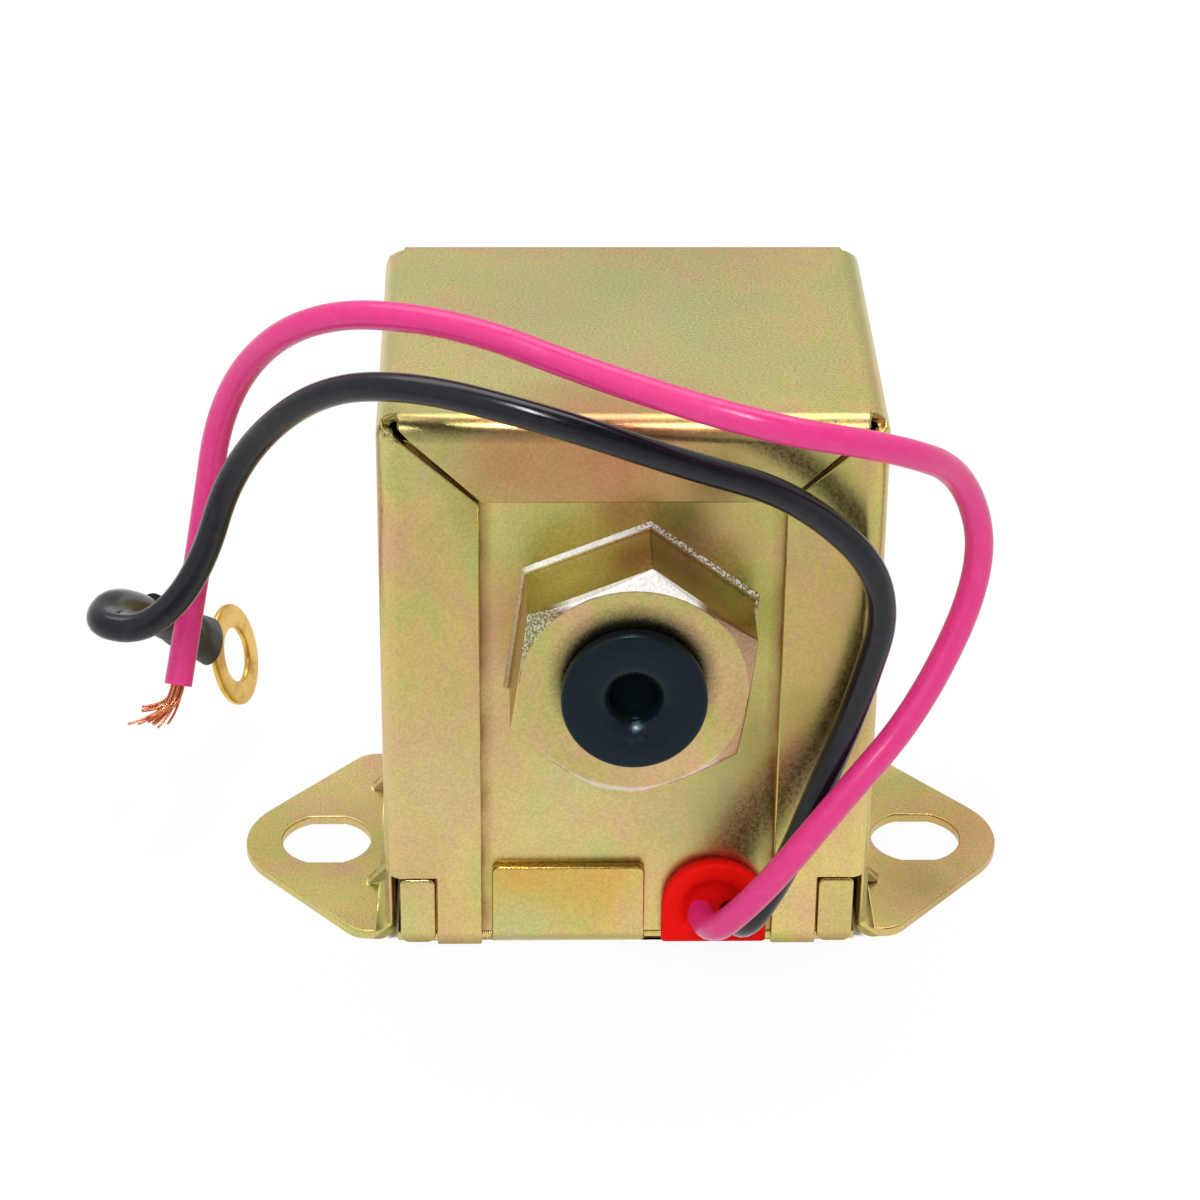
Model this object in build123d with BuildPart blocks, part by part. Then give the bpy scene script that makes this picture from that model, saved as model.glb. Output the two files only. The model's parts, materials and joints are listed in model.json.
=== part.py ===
from build123d import *

import os
from math import pi, radians, sin, tan

# Solid-state electric fuel pump: a folded steel case with two mounting ears, a hex port fitting
# at each end, a solenoid plunger pump between them and two leads that leave through a grommet.
# Millimetres. +Z is up, X runs along the ears and Y along the bore; the outlet faces -Y.
# The origin lies on the mounting face, midway between the two ports.

os.makedirs("parts", exist_ok=True)

# Folded case
case_width = 56.0
case_depth = 47.8
case_height = 68.4
sheet = 1.2
case_bend_radius = 2.6
window_half_width = 16.8
top_flap_height = 9.8
flap_floor_gap = 0.3
mitre_gap_inner = 0.3
mitre_gap_outer = 0.8
corner_relief_diameter = 1.8
corner_relief_side_inset = 1.5
corner_relief_top_inset = 0.7
slip = 0.05

# Mounting ears, folded outwards from the side walls
ear_end_margin = 9.7
ear_tip_radius = 10.0
ear_root_radius = 3.2
ear_root_overhang = 2.2
ear_front = -22.3
ear_rear = 16.7
ear_bend_radius = 1.2
ear_hole_spacing = 71.4
ear_hole_diameter = 10.7
ear_hole_flats = 9.9
dart_stations = (-11.8, 9.0)
dart_leg = 2.5
dart_width = 1.6

# Base plate with its folded-up tab and corner lugs
base_side_gap = 0.15
lug_width = 4.1
lug_height = 9.3
lug_slit = 0.55
lug_notch_gap = 0.15
lug_edge_radius = 0.4
lug_foot_radius = 1.1
lug_foot_gap = 0.5
tab_left = -15.6
tab_right = 2.0
tab_height = 11.0
tab_corner_radius = 0.9
tab_bend_radius = 2.2
tab_edge_radius = 0.3

# End plates and port fittings
plate_corner_gap = 0.1
port_height = 40.5
hex_across_flats = 25.4
hex_length = 10.8
hex_turn = 7.5
hex_chamfer_angle = 30.0
hex_face_diameter = 25.1
hex_root_cove = 0.8
shank_diameter = 18.0
port_thread_radius = 4.3
port_lead_in_diameter = 10.6
port_lead_in_depth = 3.0
port_mouth_chamfer = 0.3
turned_clearance = 0.1

# Port caps
cap_flange_diameter = 16.0
cap_flange_thickness = 2.0
cap_edge_radius = 0.8
cap_stem_length = 2.6
cap_stem_clearance = 0.3
cap_tilt = 6.0
cap_recess_diameter = 5.8
cap_recess_depth = 3.4
cap_recess_edge_radius = 0.5

# Pump cartridge
tube_outer_diameter = 14.0
tube_bore = 12.4
tube_engagement = 3.5
ring_section = 1.0
ring_squeeze_gap = 0.06
running_clearance = 0.06
bumper_thickness = 1.3
bumper_bore = 9.6
plunger_length = 20.0
plunger_stop_gap = 0.1
plunger_recess_diameter = 9.2
plunger_recess_depth = 2.6
plunger_rear_bore = 8.4
spring_wire_width = 1.2
spring_bore_gap = 0.24
valve_web = 2.0
valve_head_diameter = 7.8
valve_head_thickness = 1.0
valve_stem_diameter = 2.0
valve_stem_clearance = 0.1
valve_end_diameter = 3.8
valve_end_thickness = 0.6
valve_spring_length = 3.4
valve_spring_wire = 0.5
flow_hole_diameter = 1.8
flow_hole_circle = 5.4
flow_hole_count = 4
seat_length = 7.5
seat_rim = 1.3

# Solenoid
pole_plate_side = 40.0
pole_plate_thickness = 1.5
bobbin_side = 38.0
bobbin_flange = 1.5
bobbin_wall = 1.35
bobbin_bore_gap = 0.15
bobbin_corner_radius = 4.0
winding_gap = 0.1
sensing_winding_build = 1.5
power_winding_build = 6.4

# Circuit board and what it carries
board_width = 44.0
board_depth = 37.0
board_thickness = 1.6
board_height = 7.0
board_corner_radius = 1.5
spacer_diameter = 5.0
spacer_inset = 4.0
transistor_size = (10.0, 9.0, 4.4)
transistor_tab = (10.0, 6.2, 1.3)
transistor_place = (-9.0, 2.0)
diode_diameter = 2.7
diode_length = 5.2
diode_place = (10.0, 7.0)
resistor_diameter = 2.3
resistor_length = 6.3
resistor_places = ((10.0, 1.0), (10.0, -5.0))
terminal_length = 1.8
terminal_width = 3.0

# Wire grommet
grommet_left = 4.0
grommet_right = 16.2
grommet_bottom = 0.8
grommet_top = 11.8
grommet_front_flange = 1.9
grommet_rear_flange = 1.7
grommet_neck_inset = 1.3
grommet_rim = 1.6
grommet_rim_depth = 0.9
grommet_edge_radius = 0.5

# Leads, in the order of their route from the grommet outwards
lead_diameter = 3.2
lead_hole_clearance = 0.05
pink_lead_x = 8.4
black_lead_x = 12.2
lead_exit_height = 4.2
strand_bundle_diameter = 1.9
strand_bundle_length = 1.6
strand_diameter = 0.5
strand_length = 4.4
strand_spread = 24.0
strand_lean = (-0.55, 0.0, 0.1)
strand_count = 6
sleeve_length = 15.0
sleeve_start_diameter = 4.6
sleeve_end_diameter = 5.4
barrel_diameter = 2.9
barrel_depth = 7.0
barrel_clearance = 0.05
eyelet_reach = 7.3
eyelet_diameter = 12.4
eyelet_hole_diameter = 6.7
eyelet_thickness = 0.8
eyelet_neck_width = 4.6
eyelet_tilt = (0.9291, -0.2485, 0.2738)

# Places that follow from the sizes above
half_width = case_width / 2
half_depth = case_depth / 2
plate_face = half_depth - sheet
plate_back = plate_face - sheet
pole_back = plate_back - pole_plate_thickness
inner_bend_radius = case_bend_radius - sheet
window_top = case_height - top_flap_height
wall_inside = half_width - sheet
lug_outer = wall_inside - lug_slit
lug_inner = lug_outer - lug_width
ear_centre_y = (ear_front + ear_rear) / 2
ear_span = ear_hole_spacing + 2 * ear_end_margin
ear_tip_x = ear_span / 2 - ear_tip_radius
ear_hole_x = ear_hole_spacing / 2
plate_half_width = wall_inside - inner_bend_radius - plate_corner_gap
plate_bottom = sheet + plate_corner_gap
plate_top = case_height - sheet - inner_bend_radius - plate_corner_gap
shank_radius = shank_diameter / 2
port_face = plate_face + hex_length
cap_face = port_face + cap_flange_thickness
tube_end = pole_back + tube_engagement
tube_radius = tube_outer_diameter / 2
bore_radius = tube_bore / 2
seal_groove_radius = tube_radius + ring_section + 2 * ring_squeeze_gap
seal_groove_width = ring_section + 2 * ring_squeeze_gap
seal_groove_low = (pole_back + tube_end - seal_groove_width) / 2
bumper_face = -tube_end + bumper_thickness
plunger_radius = bore_radius - running_clearance
plunger_front = bumper_face + plunger_stop_gap
plunger_rear = plunger_front + plunger_length
plunger_web = plunger_front + plunger_recess_depth
plunger_spring_radius = bore_radius - spring_bore_gap
seat_face = tube_end - seat_length
bobbin_core_radius = tube_radius + bobbin_bore_gap + bobbin_wall
port_axis = Axis((0, 0, port_height), (0, 1, 0))
grommet_x = (grommet_left + grommet_right) / 2
grommet_width = grommet_right - grommet_left
lead_start = plate_back - grommet_rear_flange
neck_centre = grommet_top - grommet_width / 2
grommet_face = plate_face + grommet_front_flange


def ring_profile(inner, outer, low, high):
    """Rectangle on the YZ plane that revolves to a ring about the port axis, from low to high in Y."""
    with Locations((low, port_height + inner)):
        Rectangle(high - low, outer - inner, align=Align.MIN)


def flow_holes(web):
    """Cut the stem's hole and the ring of flow holes through a valve web that starts at web."""
    with BuildSketch(Plane.XZ.offset(-web - valve_web)) as holes:
        with Locations((0, port_height)):
            Circle(valve_stem_diameter / 2 + valve_stem_clearance)
            with PolarLocations(flow_hole_circle / 2, flow_hole_count):
                Circle(flow_hole_diameter / 2)
    extrude(holes.sketch, amount=valve_web, mode=Mode.SUBTRACT)


def grommet_profile(inset, floor):
    """Round-topped, flat-bottomed outline of the grommet, drawn in by inset and cut off at floor."""
    radius = grommet_width / 2 - inset
    with Locations((grommet_x, neck_centre)):
        Circle(radius)
        Rectangle(2 * radius, neck_centre - floor, align=(Align.CENTER, Align.MAX))
    with Locations((grommet_x, floor)):
        Rectangle(grommet_width, grommet_width, align=(Align.CENTER, Align.MAX), mode=Mode.SUBTRACT)


def corner_radii(route):
    """Radius for each corner of a route: as large as the shorter of its two runs allows."""
    radii = []
    for before, corner, after in zip(route, route[1:], route[2:]):
        run_in = Vector(corner) - Vector(before)
        run_out = Vector(after) - Vector(corner)
        half_turn = radians(run_in.get_angle(run_out)) / 2
        radii.append(0.45 * min(run_in.length, run_out.length) / tan(half_turn))
    return radii


def save(builder, name):
    """Label a finished piece and write it as its own file."""
    builder.part.label = name
    export_step(builder.part, f"parts/{name}.step")


# Case shell: top, side walls, end flaps and ears folded from one sheet
with BuildPart() as case_hollow:
    Box(
        case_width - 2 * sheet,
        case_depth - 2 * sheet,
        case_height,
        align=(Align.CENTER, Align.CENTER, Align.MIN),
    )
    hollow_edges = case_hollow.edges()
    fillet(hollow_edges.filter_by(Axis.Z) + hollow_edges.group_by(Axis.Z)[-1], inner_bend_radius)

with BuildPart() as flap_cuts:
    cut_depth = case_bend_radius + slip
    relief_x = half_width - corner_relief_side_inset
    relief_z = case_height - corner_relief_top_inset
    with BuildSketch(Plane.XZ.offset(half_depth - cut_depth)) as window:
        Rectangle(2 * window_half_width, window_top, align=(Align.CENTER, Align.MIN))
        Rectangle(case_width, flap_floor_gap, align=(Align.CENTER, Align.MIN))
        for side in (1, -1):
            mitre = Vector(side * (relief_x - window_half_width), relief_z - window_top)
            across = Vector(-mitre.Y, mitre.X).normalized()
            inner = Vector(side * window_half_width, window_top) - mitre.normalized() * mitre_gap_inner
            outer = Vector(side * relief_x, relief_z)
            Polygon(
                inner + across * (mitre_gap_inner / 2),
                outer + across * (mitre_gap_outer / 2),
                outer - across * (mitre_gap_outer / 2),
                inner - across * (mitre_gap_inner / 2),
                align=None,
            )
            with Locations(outer):
                Circle(corner_relief_diameter / 2)
    extrude(amount=cut_depth + slip)
    notch_edge = lug_inner - lug_notch_gap
    notch_height = lug_height + lug_notch_gap
    with BuildSketch(Plane.XZ.offset(half_depth - case_bend_radius)) as lug_notches:
        for side in (1, -1):
            with Locations((side * (notch_edge + half_width) / 2, 0)):
                Rectangle(half_width - notch_edge + slip, notch_height, align=(Align.CENTER, Align.MIN))
    extrude(amount=case_bend_radius + slip)

outward = {1: (Align.MIN, Align.CENTER), -1: (Align.MAX, Align.CENTER)}
with BuildPart() as case_shell:
    Box(case_width, case_depth, case_height, align=(Align.CENTER, Align.CENTER, Align.MIN))
    shell_edges = case_shell.edges()
    fillet(shell_edges.filter_by(Axis.Z) + shell_edges.group_by(Axis.Z)[-1], case_bend_radius)
    add(case_hollow.part.moved(Location((0, 0, -sheet))), mode=Mode.SUBTRACT)
    add(flap_cuts.part, mode=Mode.SUBTRACT)
    mirror(flap_cuts.part, about=Plane.XZ, mode=Mode.SUBTRACT)
    bend_start = half_depth - case_bend_radius
    wall_lip = -ear_front - bend_start
    for side in (1, -1):
        with Locations(
            (side * (half_width - sheet / 2), -bend_start - wall_lip / 2, 0),
            (side * (half_width - sheet / 2), bend_start + wall_lip / 2, 0),
        ):
            Box(sheet, wall_lip, notch_height, align=(Align.CENTER, Align.CENTER, Align.MIN))
    for side in (1, -1):
        root_x = side * (half_width + ear_root_overhang)
        with BuildSketch(Plane.XY) as ear_outline:
            with Locations((side * ear_tip_x, ear_centre_y)):
                Circle(ear_tip_radius)
            with Locations((root_x, ear_front + ear_root_radius), (root_x, ear_rear - ear_root_radius)):
                Circle(ear_root_radius)
            with Locations((side * (half_width - sheet / 2), ear_centre_y)):
                Rectangle(sheet, ear_rear - ear_front)
            make_hull()
            with Locations((side * wall_inside, ear_centre_y)):
                Rectangle(2 * half_width, ear_span, mode=Mode.INTERSECT, align=outward[side])
        extrude(amount=sheet)
        fold_radius = ear_bend_radius + sheet
        with BuildSketch(Plane.XZ.offset(-ear_rear)):
            with Locations((side * (wall_inside - slip), -slip)):
                Rectangle(fold_radius + slip, fold_radius + slip, align=(outward[side][0], Align.MIN))
            with Locations((side * (wall_inside + fold_radius), fold_radius)):
                Circle(fold_radius, mode=Mode.SUBTRACT)
        extrude(amount=ear_rear - ear_front, mode=Mode.SUBTRACT)
    fold_edges = case_shell.edges().filter_by(Axis.Y)
    for side in (1, -1):
        inside_fold = fold_edges.filter_by_position(
            Axis.X, side * half_width - slip, side * half_width + slip
        ).filter_by_position(Axis.Z, sheet - slip, sheet + slip)
        fillet(inside_fold, ear_bend_radius)
    for side in (1, -1):
        for station in dart_stations:
            with BuildSketch(Plane.XZ.offset(-station)) as dart:
                with BuildLine():
                    root = side * (half_width - sheet / 2)
                    tip = side * (half_width + dart_leg)
                    Polyline(
                        (root, sheet),
                        (side * half_width, sheet / 2),
                        (tip, sheet / 2),
                        (tip, sheet),
                        (side * half_width, sheet + dart_leg),
                        (root, sheet + dart_leg),
                        close=True,
                    )
                make_face()
            extrude(amount=dart_width / 2, both=True)
    with BuildSketch(Plane.XY) as ear_holes:
        with Locations((ear_hole_x, ear_centre_y), (-ear_hole_x, ear_centre_y)):
            Circle(ear_hole_diameter / 2)
        with Locations((0, ear_centre_y)):
            Rectangle(ear_span, ear_hole_flats, mode=Mode.INTERSECT)
    extrude(amount=sheet, mode=Mode.SUBTRACT)
save(case_shell, "case_shell")

# Base plate: closes the underside; its tab and lugs fold up over the end plates
with BuildPart() as upstands:
    tab_thickness = sheet - slip
    tab_centre = (tab_left + tab_right) / 2
    with BuildSketch(Plane.XZ.offset(half_depth - tab_thickness)) as tab_front:
        with Locations((tab_centre, 0)):
            Rectangle(tab_right - tab_left, tab_height, align=(Align.CENTER, Align.MIN))
        fillet(tab_front.vertices().group_by(Axis.Y)[-1], tab_corner_radius)
    extrude(amount=tab_thickness)
    with Locations((tab_centre, -plate_face, 0)):
        Box(tab_right - tab_left, 2 * sheet, sheet, align=(Align.CENTER, Align.CENTER, Align.MIN))
    front = upstands.faces().filter_by(Axis.Y).sort_by(Axis.Y)[0]
    fillet(front.edges().group_by(Axis.Z)[0], tab_bend_radius)
    front = upstands.faces().filter_by(Axis.Y).sort_by(Axis.Y)[0]
    fillet(front.edges().group_by(Axis.Z)[-1], tab_edge_radius)
    for side in (1, -1):
        with BuildSketch(Plane.XZ.offset(half_depth - tab_thickness)) as lug_front:
            with Locations((side * (lug_inner + lug_outer) / 2, lug_foot_gap)):
                Rectangle(lug_width, lug_height - lug_foot_gap, align=(Align.CENTER, Align.MIN))
            fillet(lug_front.vertices().group_by(Axis.Y)[-1], tab_corner_radius)
            fillet(lug_front.vertices().group_by(Axis.Y)[0], lug_foot_radius)
        extrude(amount=tab_thickness)
        with Locations((side * (lug_inner + lug_outer) / 2, -plate_face, 0)):
            Box(lug_width - 2 * lug_foot_radius, 4 * slip, sheet, align=(Align.CENTER, Align.CENTER, Align.MIN))
    fronts = upstands.faces().filter_by(Axis.Y).group_by(Axis.Y)[0]
    lug_fronts = fronts.filter_by(lambda face: abs(face.center().X) > window_half_width)
    fillet(lug_fronts.edges(), lug_edge_radius)

with BuildPart() as base_plate:
    Box(
        2 * (wall_inside - base_side_gap),
        2 * (plate_face - slip),
        sheet,
        align=(Align.CENTER, Align.CENTER, Align.MIN),
    )
    add(upstands.part)
    mirror(upstands.part, about=Plane.XZ)
save(base_plate, "base_plate")

# End plates: stand on the base plate behind the flaps and carry the port fittings
with BuildPart() as rear_end_plate:
    with BuildSketch(Plane.XZ.offset(-plate_face)):
        with Locations((0, plate_bottom)):
            Rectangle(2 * plate_half_width, plate_top - plate_bottom, align=(Align.CENTER, Align.MIN))
        with Locations((0, port_height)):
            Circle(shank_radius + turned_clearance, mode=Mode.SUBTRACT)
    extrude(amount=sheet)
save(rear_end_plate, "rear_end_plate")

with BuildPart() as front_end_plate:
    mirror(rear_end_plate.part, about=Plane.XZ)
    with BuildSketch(Plane.XZ.offset(plate_back)):
        grommet_profile(grommet_neck_inset - slip, 0)
    extrude(amount=sheet, mode=Mode.SUBTRACT)
save(front_end_plate, "front_end_plate")

# Port fittings: hex outside the plate, shank through it, bored for the pump tube
with BuildPart() as inlet_fitting:
    with BuildSketch(Plane.XZ.offset(-port_face)):
        with Locations((0, port_height)):
            RegularPolygon(hex_across_flats / 2, 6, major_radius=False, rotation=30 - hex_turn)
    extrude(amount=hex_length)
    hex_corner_radius = hex_across_flats / 2 / sin(radians(60))
    chamfer_fall = (hex_corner_radius - hex_face_diameter / 2) * tan(radians(hex_chamfer_angle))
    with BuildSketch(Plane.YZ):
        with BuildLine():
            Polyline(
                (plate_face, port_height),
                (plate_face, port_height + hex_corner_radius),
                (port_face - chamfer_fall, port_height + hex_corner_radius),
                (port_face, port_height + hex_face_diameter / 2),
                (port_face, port_height),
                close=True,
            )
        make_face()
    revolve(axis=port_axis, mode=Mode.INTERSECT)
    for cove, depth in ((hex_root_cove, 0), (0, hex_root_cove)):
        with BuildSketch(Plane.XZ.offset(-plate_face - depth)):
            with Locations((0, port_height)):
                RegularPolygon(hex_across_flats / 2 + cove, 6, major_radius=False, rotation=30 - hex_turn)
    loft()
    with BuildSketch(Plane.YZ):
        ring_profile(0, shank_radius, pole_back, plate_face)
    revolve(axis=port_axis)
    with BuildSketch(Plane.YZ):
        ring_profile(0, tube_radius + slip, pole_back, tube_end)
        ring_profile(0, seal_groove_radius, seal_groove_low, seal_groove_low + seal_groove_width)
        ring_profile(0, port_thread_radius, tube_end, port_face)
        ring_profile(0, port_lead_in_diameter / 2, port_face - port_lead_in_depth, port_face)
    revolve(axis=port_axis, mode=Mode.SUBTRACT)
    end_face = inlet_fitting.faces().filter_by(Axis.Y).sort_by(Axis.Y)[-1]
    chamfer(end_face.edges().sort_by(SortBy.RADIUS)[0], port_mouth_chamfer)
save(inlet_fitting, "inlet_fitting")

with BuildPart() as outlet_fitting:
    mirror(inlet_fitting.part, about=Plane.XZ)
save(outlet_fitting, "outlet_fitting")

# Port caps: soft plugs pushed into the ports, pulled off when the pump is plumbed in
with BuildPart() as straight_cap:
    with BuildSketch(Plane.YZ):
        ring_profile(0, cap_flange_diameter / 2, port_face, cap_face)
        stem_radius = port_lead_in_diameter / 2 - cap_stem_clearance
        ring_profile(0, stem_radius, port_face - cap_stem_length, port_face)
    revolve(axis=port_axis)
    with BuildSketch(Plane.YZ):
        ring_profile(0, cap_recess_diameter / 2, cap_face - cap_recess_depth, cap_face)
    revolve(axis=port_axis, mode=Mode.SUBTRACT)
    cap_rims = straight_cap.faces().filter_by(Axis.Y).sort_by(Axis.Y)[-1].edges().sort_by(SortBy.RADIUS)
    fillet(cap_rims[-1], cap_edge_radius)
    fillet(cap_rims[0], cap_recess_edge_radius)

# Each plug is pushed home at its top edge only and stands askew
with BuildPart() as inlet_port_cap:
    cap_pivot = Axis((0, port_face + slip, port_height + cap_flange_diameter / 2), (1, 0, 0))
    add(straight_cap.part.moved(Location((0, slip, 0))).rotate(cap_pivot, cap_tilt))
save(inlet_port_cap, "inlet_port_cap")

with BuildPart() as outlet_port_cap:
    mirror(inlet_port_cap.part, about=Plane.XZ)
save(outlet_port_cap, "outlet_port_cap")

# Pump tube, its seals and the bumper at the outlet end
with BuildPart() as pump_tube:
    with BuildSketch(Plane.YZ):
        ring_profile(bore_radius, tube_radius, -tube_end, tube_end)
    revolve(axis=port_axis)
save(pump_tube, "pump_tube")

for seal_name, seal_sign in (("inlet_seal", 1), ("outlet_seal", -1)):
    with BuildPart() as seal:
        with BuildSketch(Plane.YZ):
            seal_y = seal_sign * (seal_groove_low + seal_groove_width / 2)
            with Locations((seal_y, port_height + tube_radius + ring_squeeze_gap + ring_section / 2)):
                Circle(ring_section / 2)
        revolve(axis=port_axis)
    save(seal, seal_name)

with BuildPart() as plunger_bumper:
    with BuildSketch(Plane.YZ):
        ring_profile(bumper_bore / 2, bore_radius - slip, -tube_end, bumper_face)
    revolve(axis=port_axis)
save(plunger_bumper, "plunger_bumper")

# Plunger: hollow steel piston with a valve web near its outlet end
with BuildPart() as plunger:
    with BuildSketch(Plane.YZ):
        ring_profile(0, plunger_radius, plunger_front, plunger_rear)
    revolve(axis=port_axis)
    with BuildSketch(Plane.YZ):
        ring_profile(0, plunger_recess_diameter / 2, plunger_front, plunger_web)
        ring_profile(0, plunger_rear_bore / 2, plunger_web + valve_web, plunger_rear)
    revolve(axis=port_axis, mode=Mode.SUBTRACT)
    flow_holes(plunger_web)
save(plunger, "plunger")

with BuildPart() as plunger_spring:
    with BuildSketch(Plane.YZ):
        ring_profile(
            plunger_spring_radius - spring_wire_width, plunger_spring_radius, plunger_rear, seat_face
        )
    revolve(axis=port_axis)
save(plunger_spring, "plunger_spring")

# Inlet valve seat: web with flow holes and a rim that bears on the inlet fitting
with BuildPart() as inlet_valve_seat:
    with BuildSketch(Plane.YZ):
        ring_profile(0, bore_radius - slip, seat_face, tube_end)
    revolve(axis=port_axis)
    with BuildSketch(Plane.YZ):
        ring_profile(0, bore_radius - slip - seat_rim, seat_face + valve_web, tube_end)
    revolve(axis=port_axis, mode=Mode.SUBTRACT)
    flow_holes(seat_face)
save(inlet_valve_seat, "inlet_valve_seat")

# Valves: a disc on a stem, held to its web by a small spring behind the web
for valve_name, spring_name, web in (
    ("plunger_valve", "plunger_valve_spring", plunger_web),
    ("inlet_valve", "inlet_valve_spring", seat_face),
):
    spring_end = web + valve_web + valve_spring_length
    with BuildPart() as valve:
        with BuildSketch(Plane.YZ):
            ring_profile(0, valve_head_diameter / 2, web - valve_head_thickness, web)
            ring_profile(0, valve_stem_diameter / 2, web, spring_end)
            ring_profile(0, valve_end_diameter / 2, spring_end, spring_end + valve_end_thickness)
        revolve(axis=port_axis)
    save(valve, valve_name)
    with BuildPart() as valve_spring:
        with BuildSketch(Plane.YZ):
            spring_outer = valve_end_diameter / 2
            ring_profile(spring_outer - valve_spring_wire, spring_outer, web + valve_web, spring_end)
        revolve(axis=port_axis)
    save(valve_spring, spring_name)

# Solenoid: pole plates, bobbin and two windings around the tube
for pole_name, pole_low in (("front_pole_plate", -plate_back), ("rear_pole_plate", pole_back)):
    with BuildPart() as pole_plate:
        with BuildSketch(Plane.XZ.offset(-pole_low - pole_plate_thickness)):
            with Locations((0, port_height)):
                Rectangle(pole_plate_side, pole_plate_side)
                Circle(shank_radius + turned_clearance, mode=Mode.SUBTRACT)
        extrude(amount=pole_plate_thickness)
    save(pole_plate, pole_name)

with BuildPart() as bobbin:
    for flange_low in (-pole_back, pole_back - bobbin_flange):
        with BuildSketch(Plane.XZ.offset(-flange_low - bobbin_flange)):
            with Locations((0, port_height)):
                RectangleRounded(bobbin_side, bobbin_side, bobbin_corner_radius)
        extrude(amount=bobbin_flange)
    with BuildSketch(Plane.YZ):
        ring_profile(0, bobbin_core_radius, -pole_back, pole_back)
    revolve(axis=port_axis)
    with BuildSketch(Plane.YZ):
        ring_profile(0, tube_radius + bobbin_bore_gap, -pole_back, pole_back)
    revolve(axis=port_axis, mode=Mode.SUBTRACT)
save(bobbin, "bobbin")

winding_end = pole_back - bobbin_flange - winding_gap
for winding_name, winding_inner, winding_build in (
    ("sensing_winding", bobbin_core_radius, sensing_winding_build),
    ("power_winding", bobbin_core_radius + sensing_winding_build, power_winding_build),
):
    with BuildPart() as winding:
        with BuildSketch(Plane.YZ):
            ring_profile(
                winding_inner + winding_gap, winding_inner + winding_build, -winding_end, winding_end
            )
        revolve(axis=port_axis)
    save(winding, winding_name)

# Circuit board on four spacers, with the parts that switch the winding
with BuildPart() as circuit_board:
    with BuildSketch(Plane.XY.offset(board_height)):
        RectangleRounded(board_width, board_depth, board_corner_radius)
    extrude(amount=board_thickness)
save(circuit_board, "circuit_board")

with BuildPart() as board_spacers:
    with BuildSketch(Plane.XY.offset(sheet)):
        with GridLocations(board_width - 2 * spacer_inset, board_depth - 2 * spacer_inset, 2, 2):
            Circle(spacer_diameter / 2)
    extrude(amount=board_height - sheet)
save(board_spacers, "board_spacers")

board_top = board_height + board_thickness
with BuildPart() as switching_transistor:
    body_length, body_width, body_height = transistor_size
    tab_length, tab_reach, tab_rise = transistor_tab
    with Locations((transistor_place[0], transistor_place[1], board_top)):
        Box(body_length, body_width, body_height, align=(Align.CENTER, Align.MAX, Align.MIN))
        Box(tab_length, tab_reach, tab_rise, align=(Align.CENTER, Align.MIN, Align.MIN))
save(switching_transistor, "switching_transistor")

with BuildPart() as flyback_diode:
    with Locations((diode_place[0], diode_place[1], board_top + diode_diameter / 2)):
        Cylinder(diode_diameter / 2, diode_length, rotation=(0, 90, 0))
save(flyback_diode, "flyback_diode")

with BuildPart() as bias_resistors:
    for place_x, place_y in resistor_places:
        with Locations((place_x, place_y, board_top + resistor_diameter / 2)):
            Cylinder(resistor_diameter / 2, resistor_length, rotation=(0, 90, 0))
save(bias_resistors, "bias_resistors")

with BuildPart() as lead_terminals:
    for lead_x in (pink_lead_x, black_lead_x):
        with Locations((lead_x, -lead_start, lead_exit_height - lead_diameter / 2)):
            Box(
                terminal_width,
                terminal_length,
                board_height - lead_exit_height + lead_diameter / 2,
                align=(Align.CENTER, Align.MIN, Align.MIN),
            )
save(lead_terminals, "lead_terminals")

# Grommet: D-shaped flanges on both sides of the end plate, joined by a neck in its notch
with BuildPart() as wire_grommet:
    for inset, floor, low, high in (
        (0, grommet_bottom, plate_face, grommet_face),
        (grommet_neck_inset, sheet, plate_back, plate_face),
        (grommet_neck_inset / 2, sheet, lead_start, plate_back),
    ):
        with BuildSketch(Plane.XZ.offset(low)):
            grommet_profile(inset, floor)
        extrude(amount=high - low)
    face_edges = wire_grommet.faces().filter_by(Axis.Y).sort_by(Axis.Y)[0].edges()
    fillet(face_edges.sort_by(Axis.Z)[1:], grommet_edge_radius)
    with BuildSketch(Plane.XZ.offset(grommet_face - grommet_rim_depth)):
        grommet_profile(grommet_rim, grommet_bottom + grommet_rim)
    extrude(amount=grommet_rim_depth, mode=Mode.SUBTRACT)
    with BuildSketch(Plane.XZ.offset(lead_start)):
        with Locations((pink_lead_x, lead_exit_height), (black_lead_x, lead_exit_height)):
            Circle(lead_diameter / 2 + lead_hole_clearance)
    extrude(amount=grommet_face - lead_start, mode=Mode.SUBTRACT)
save(wire_grommet, "wire_grommet")

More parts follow.
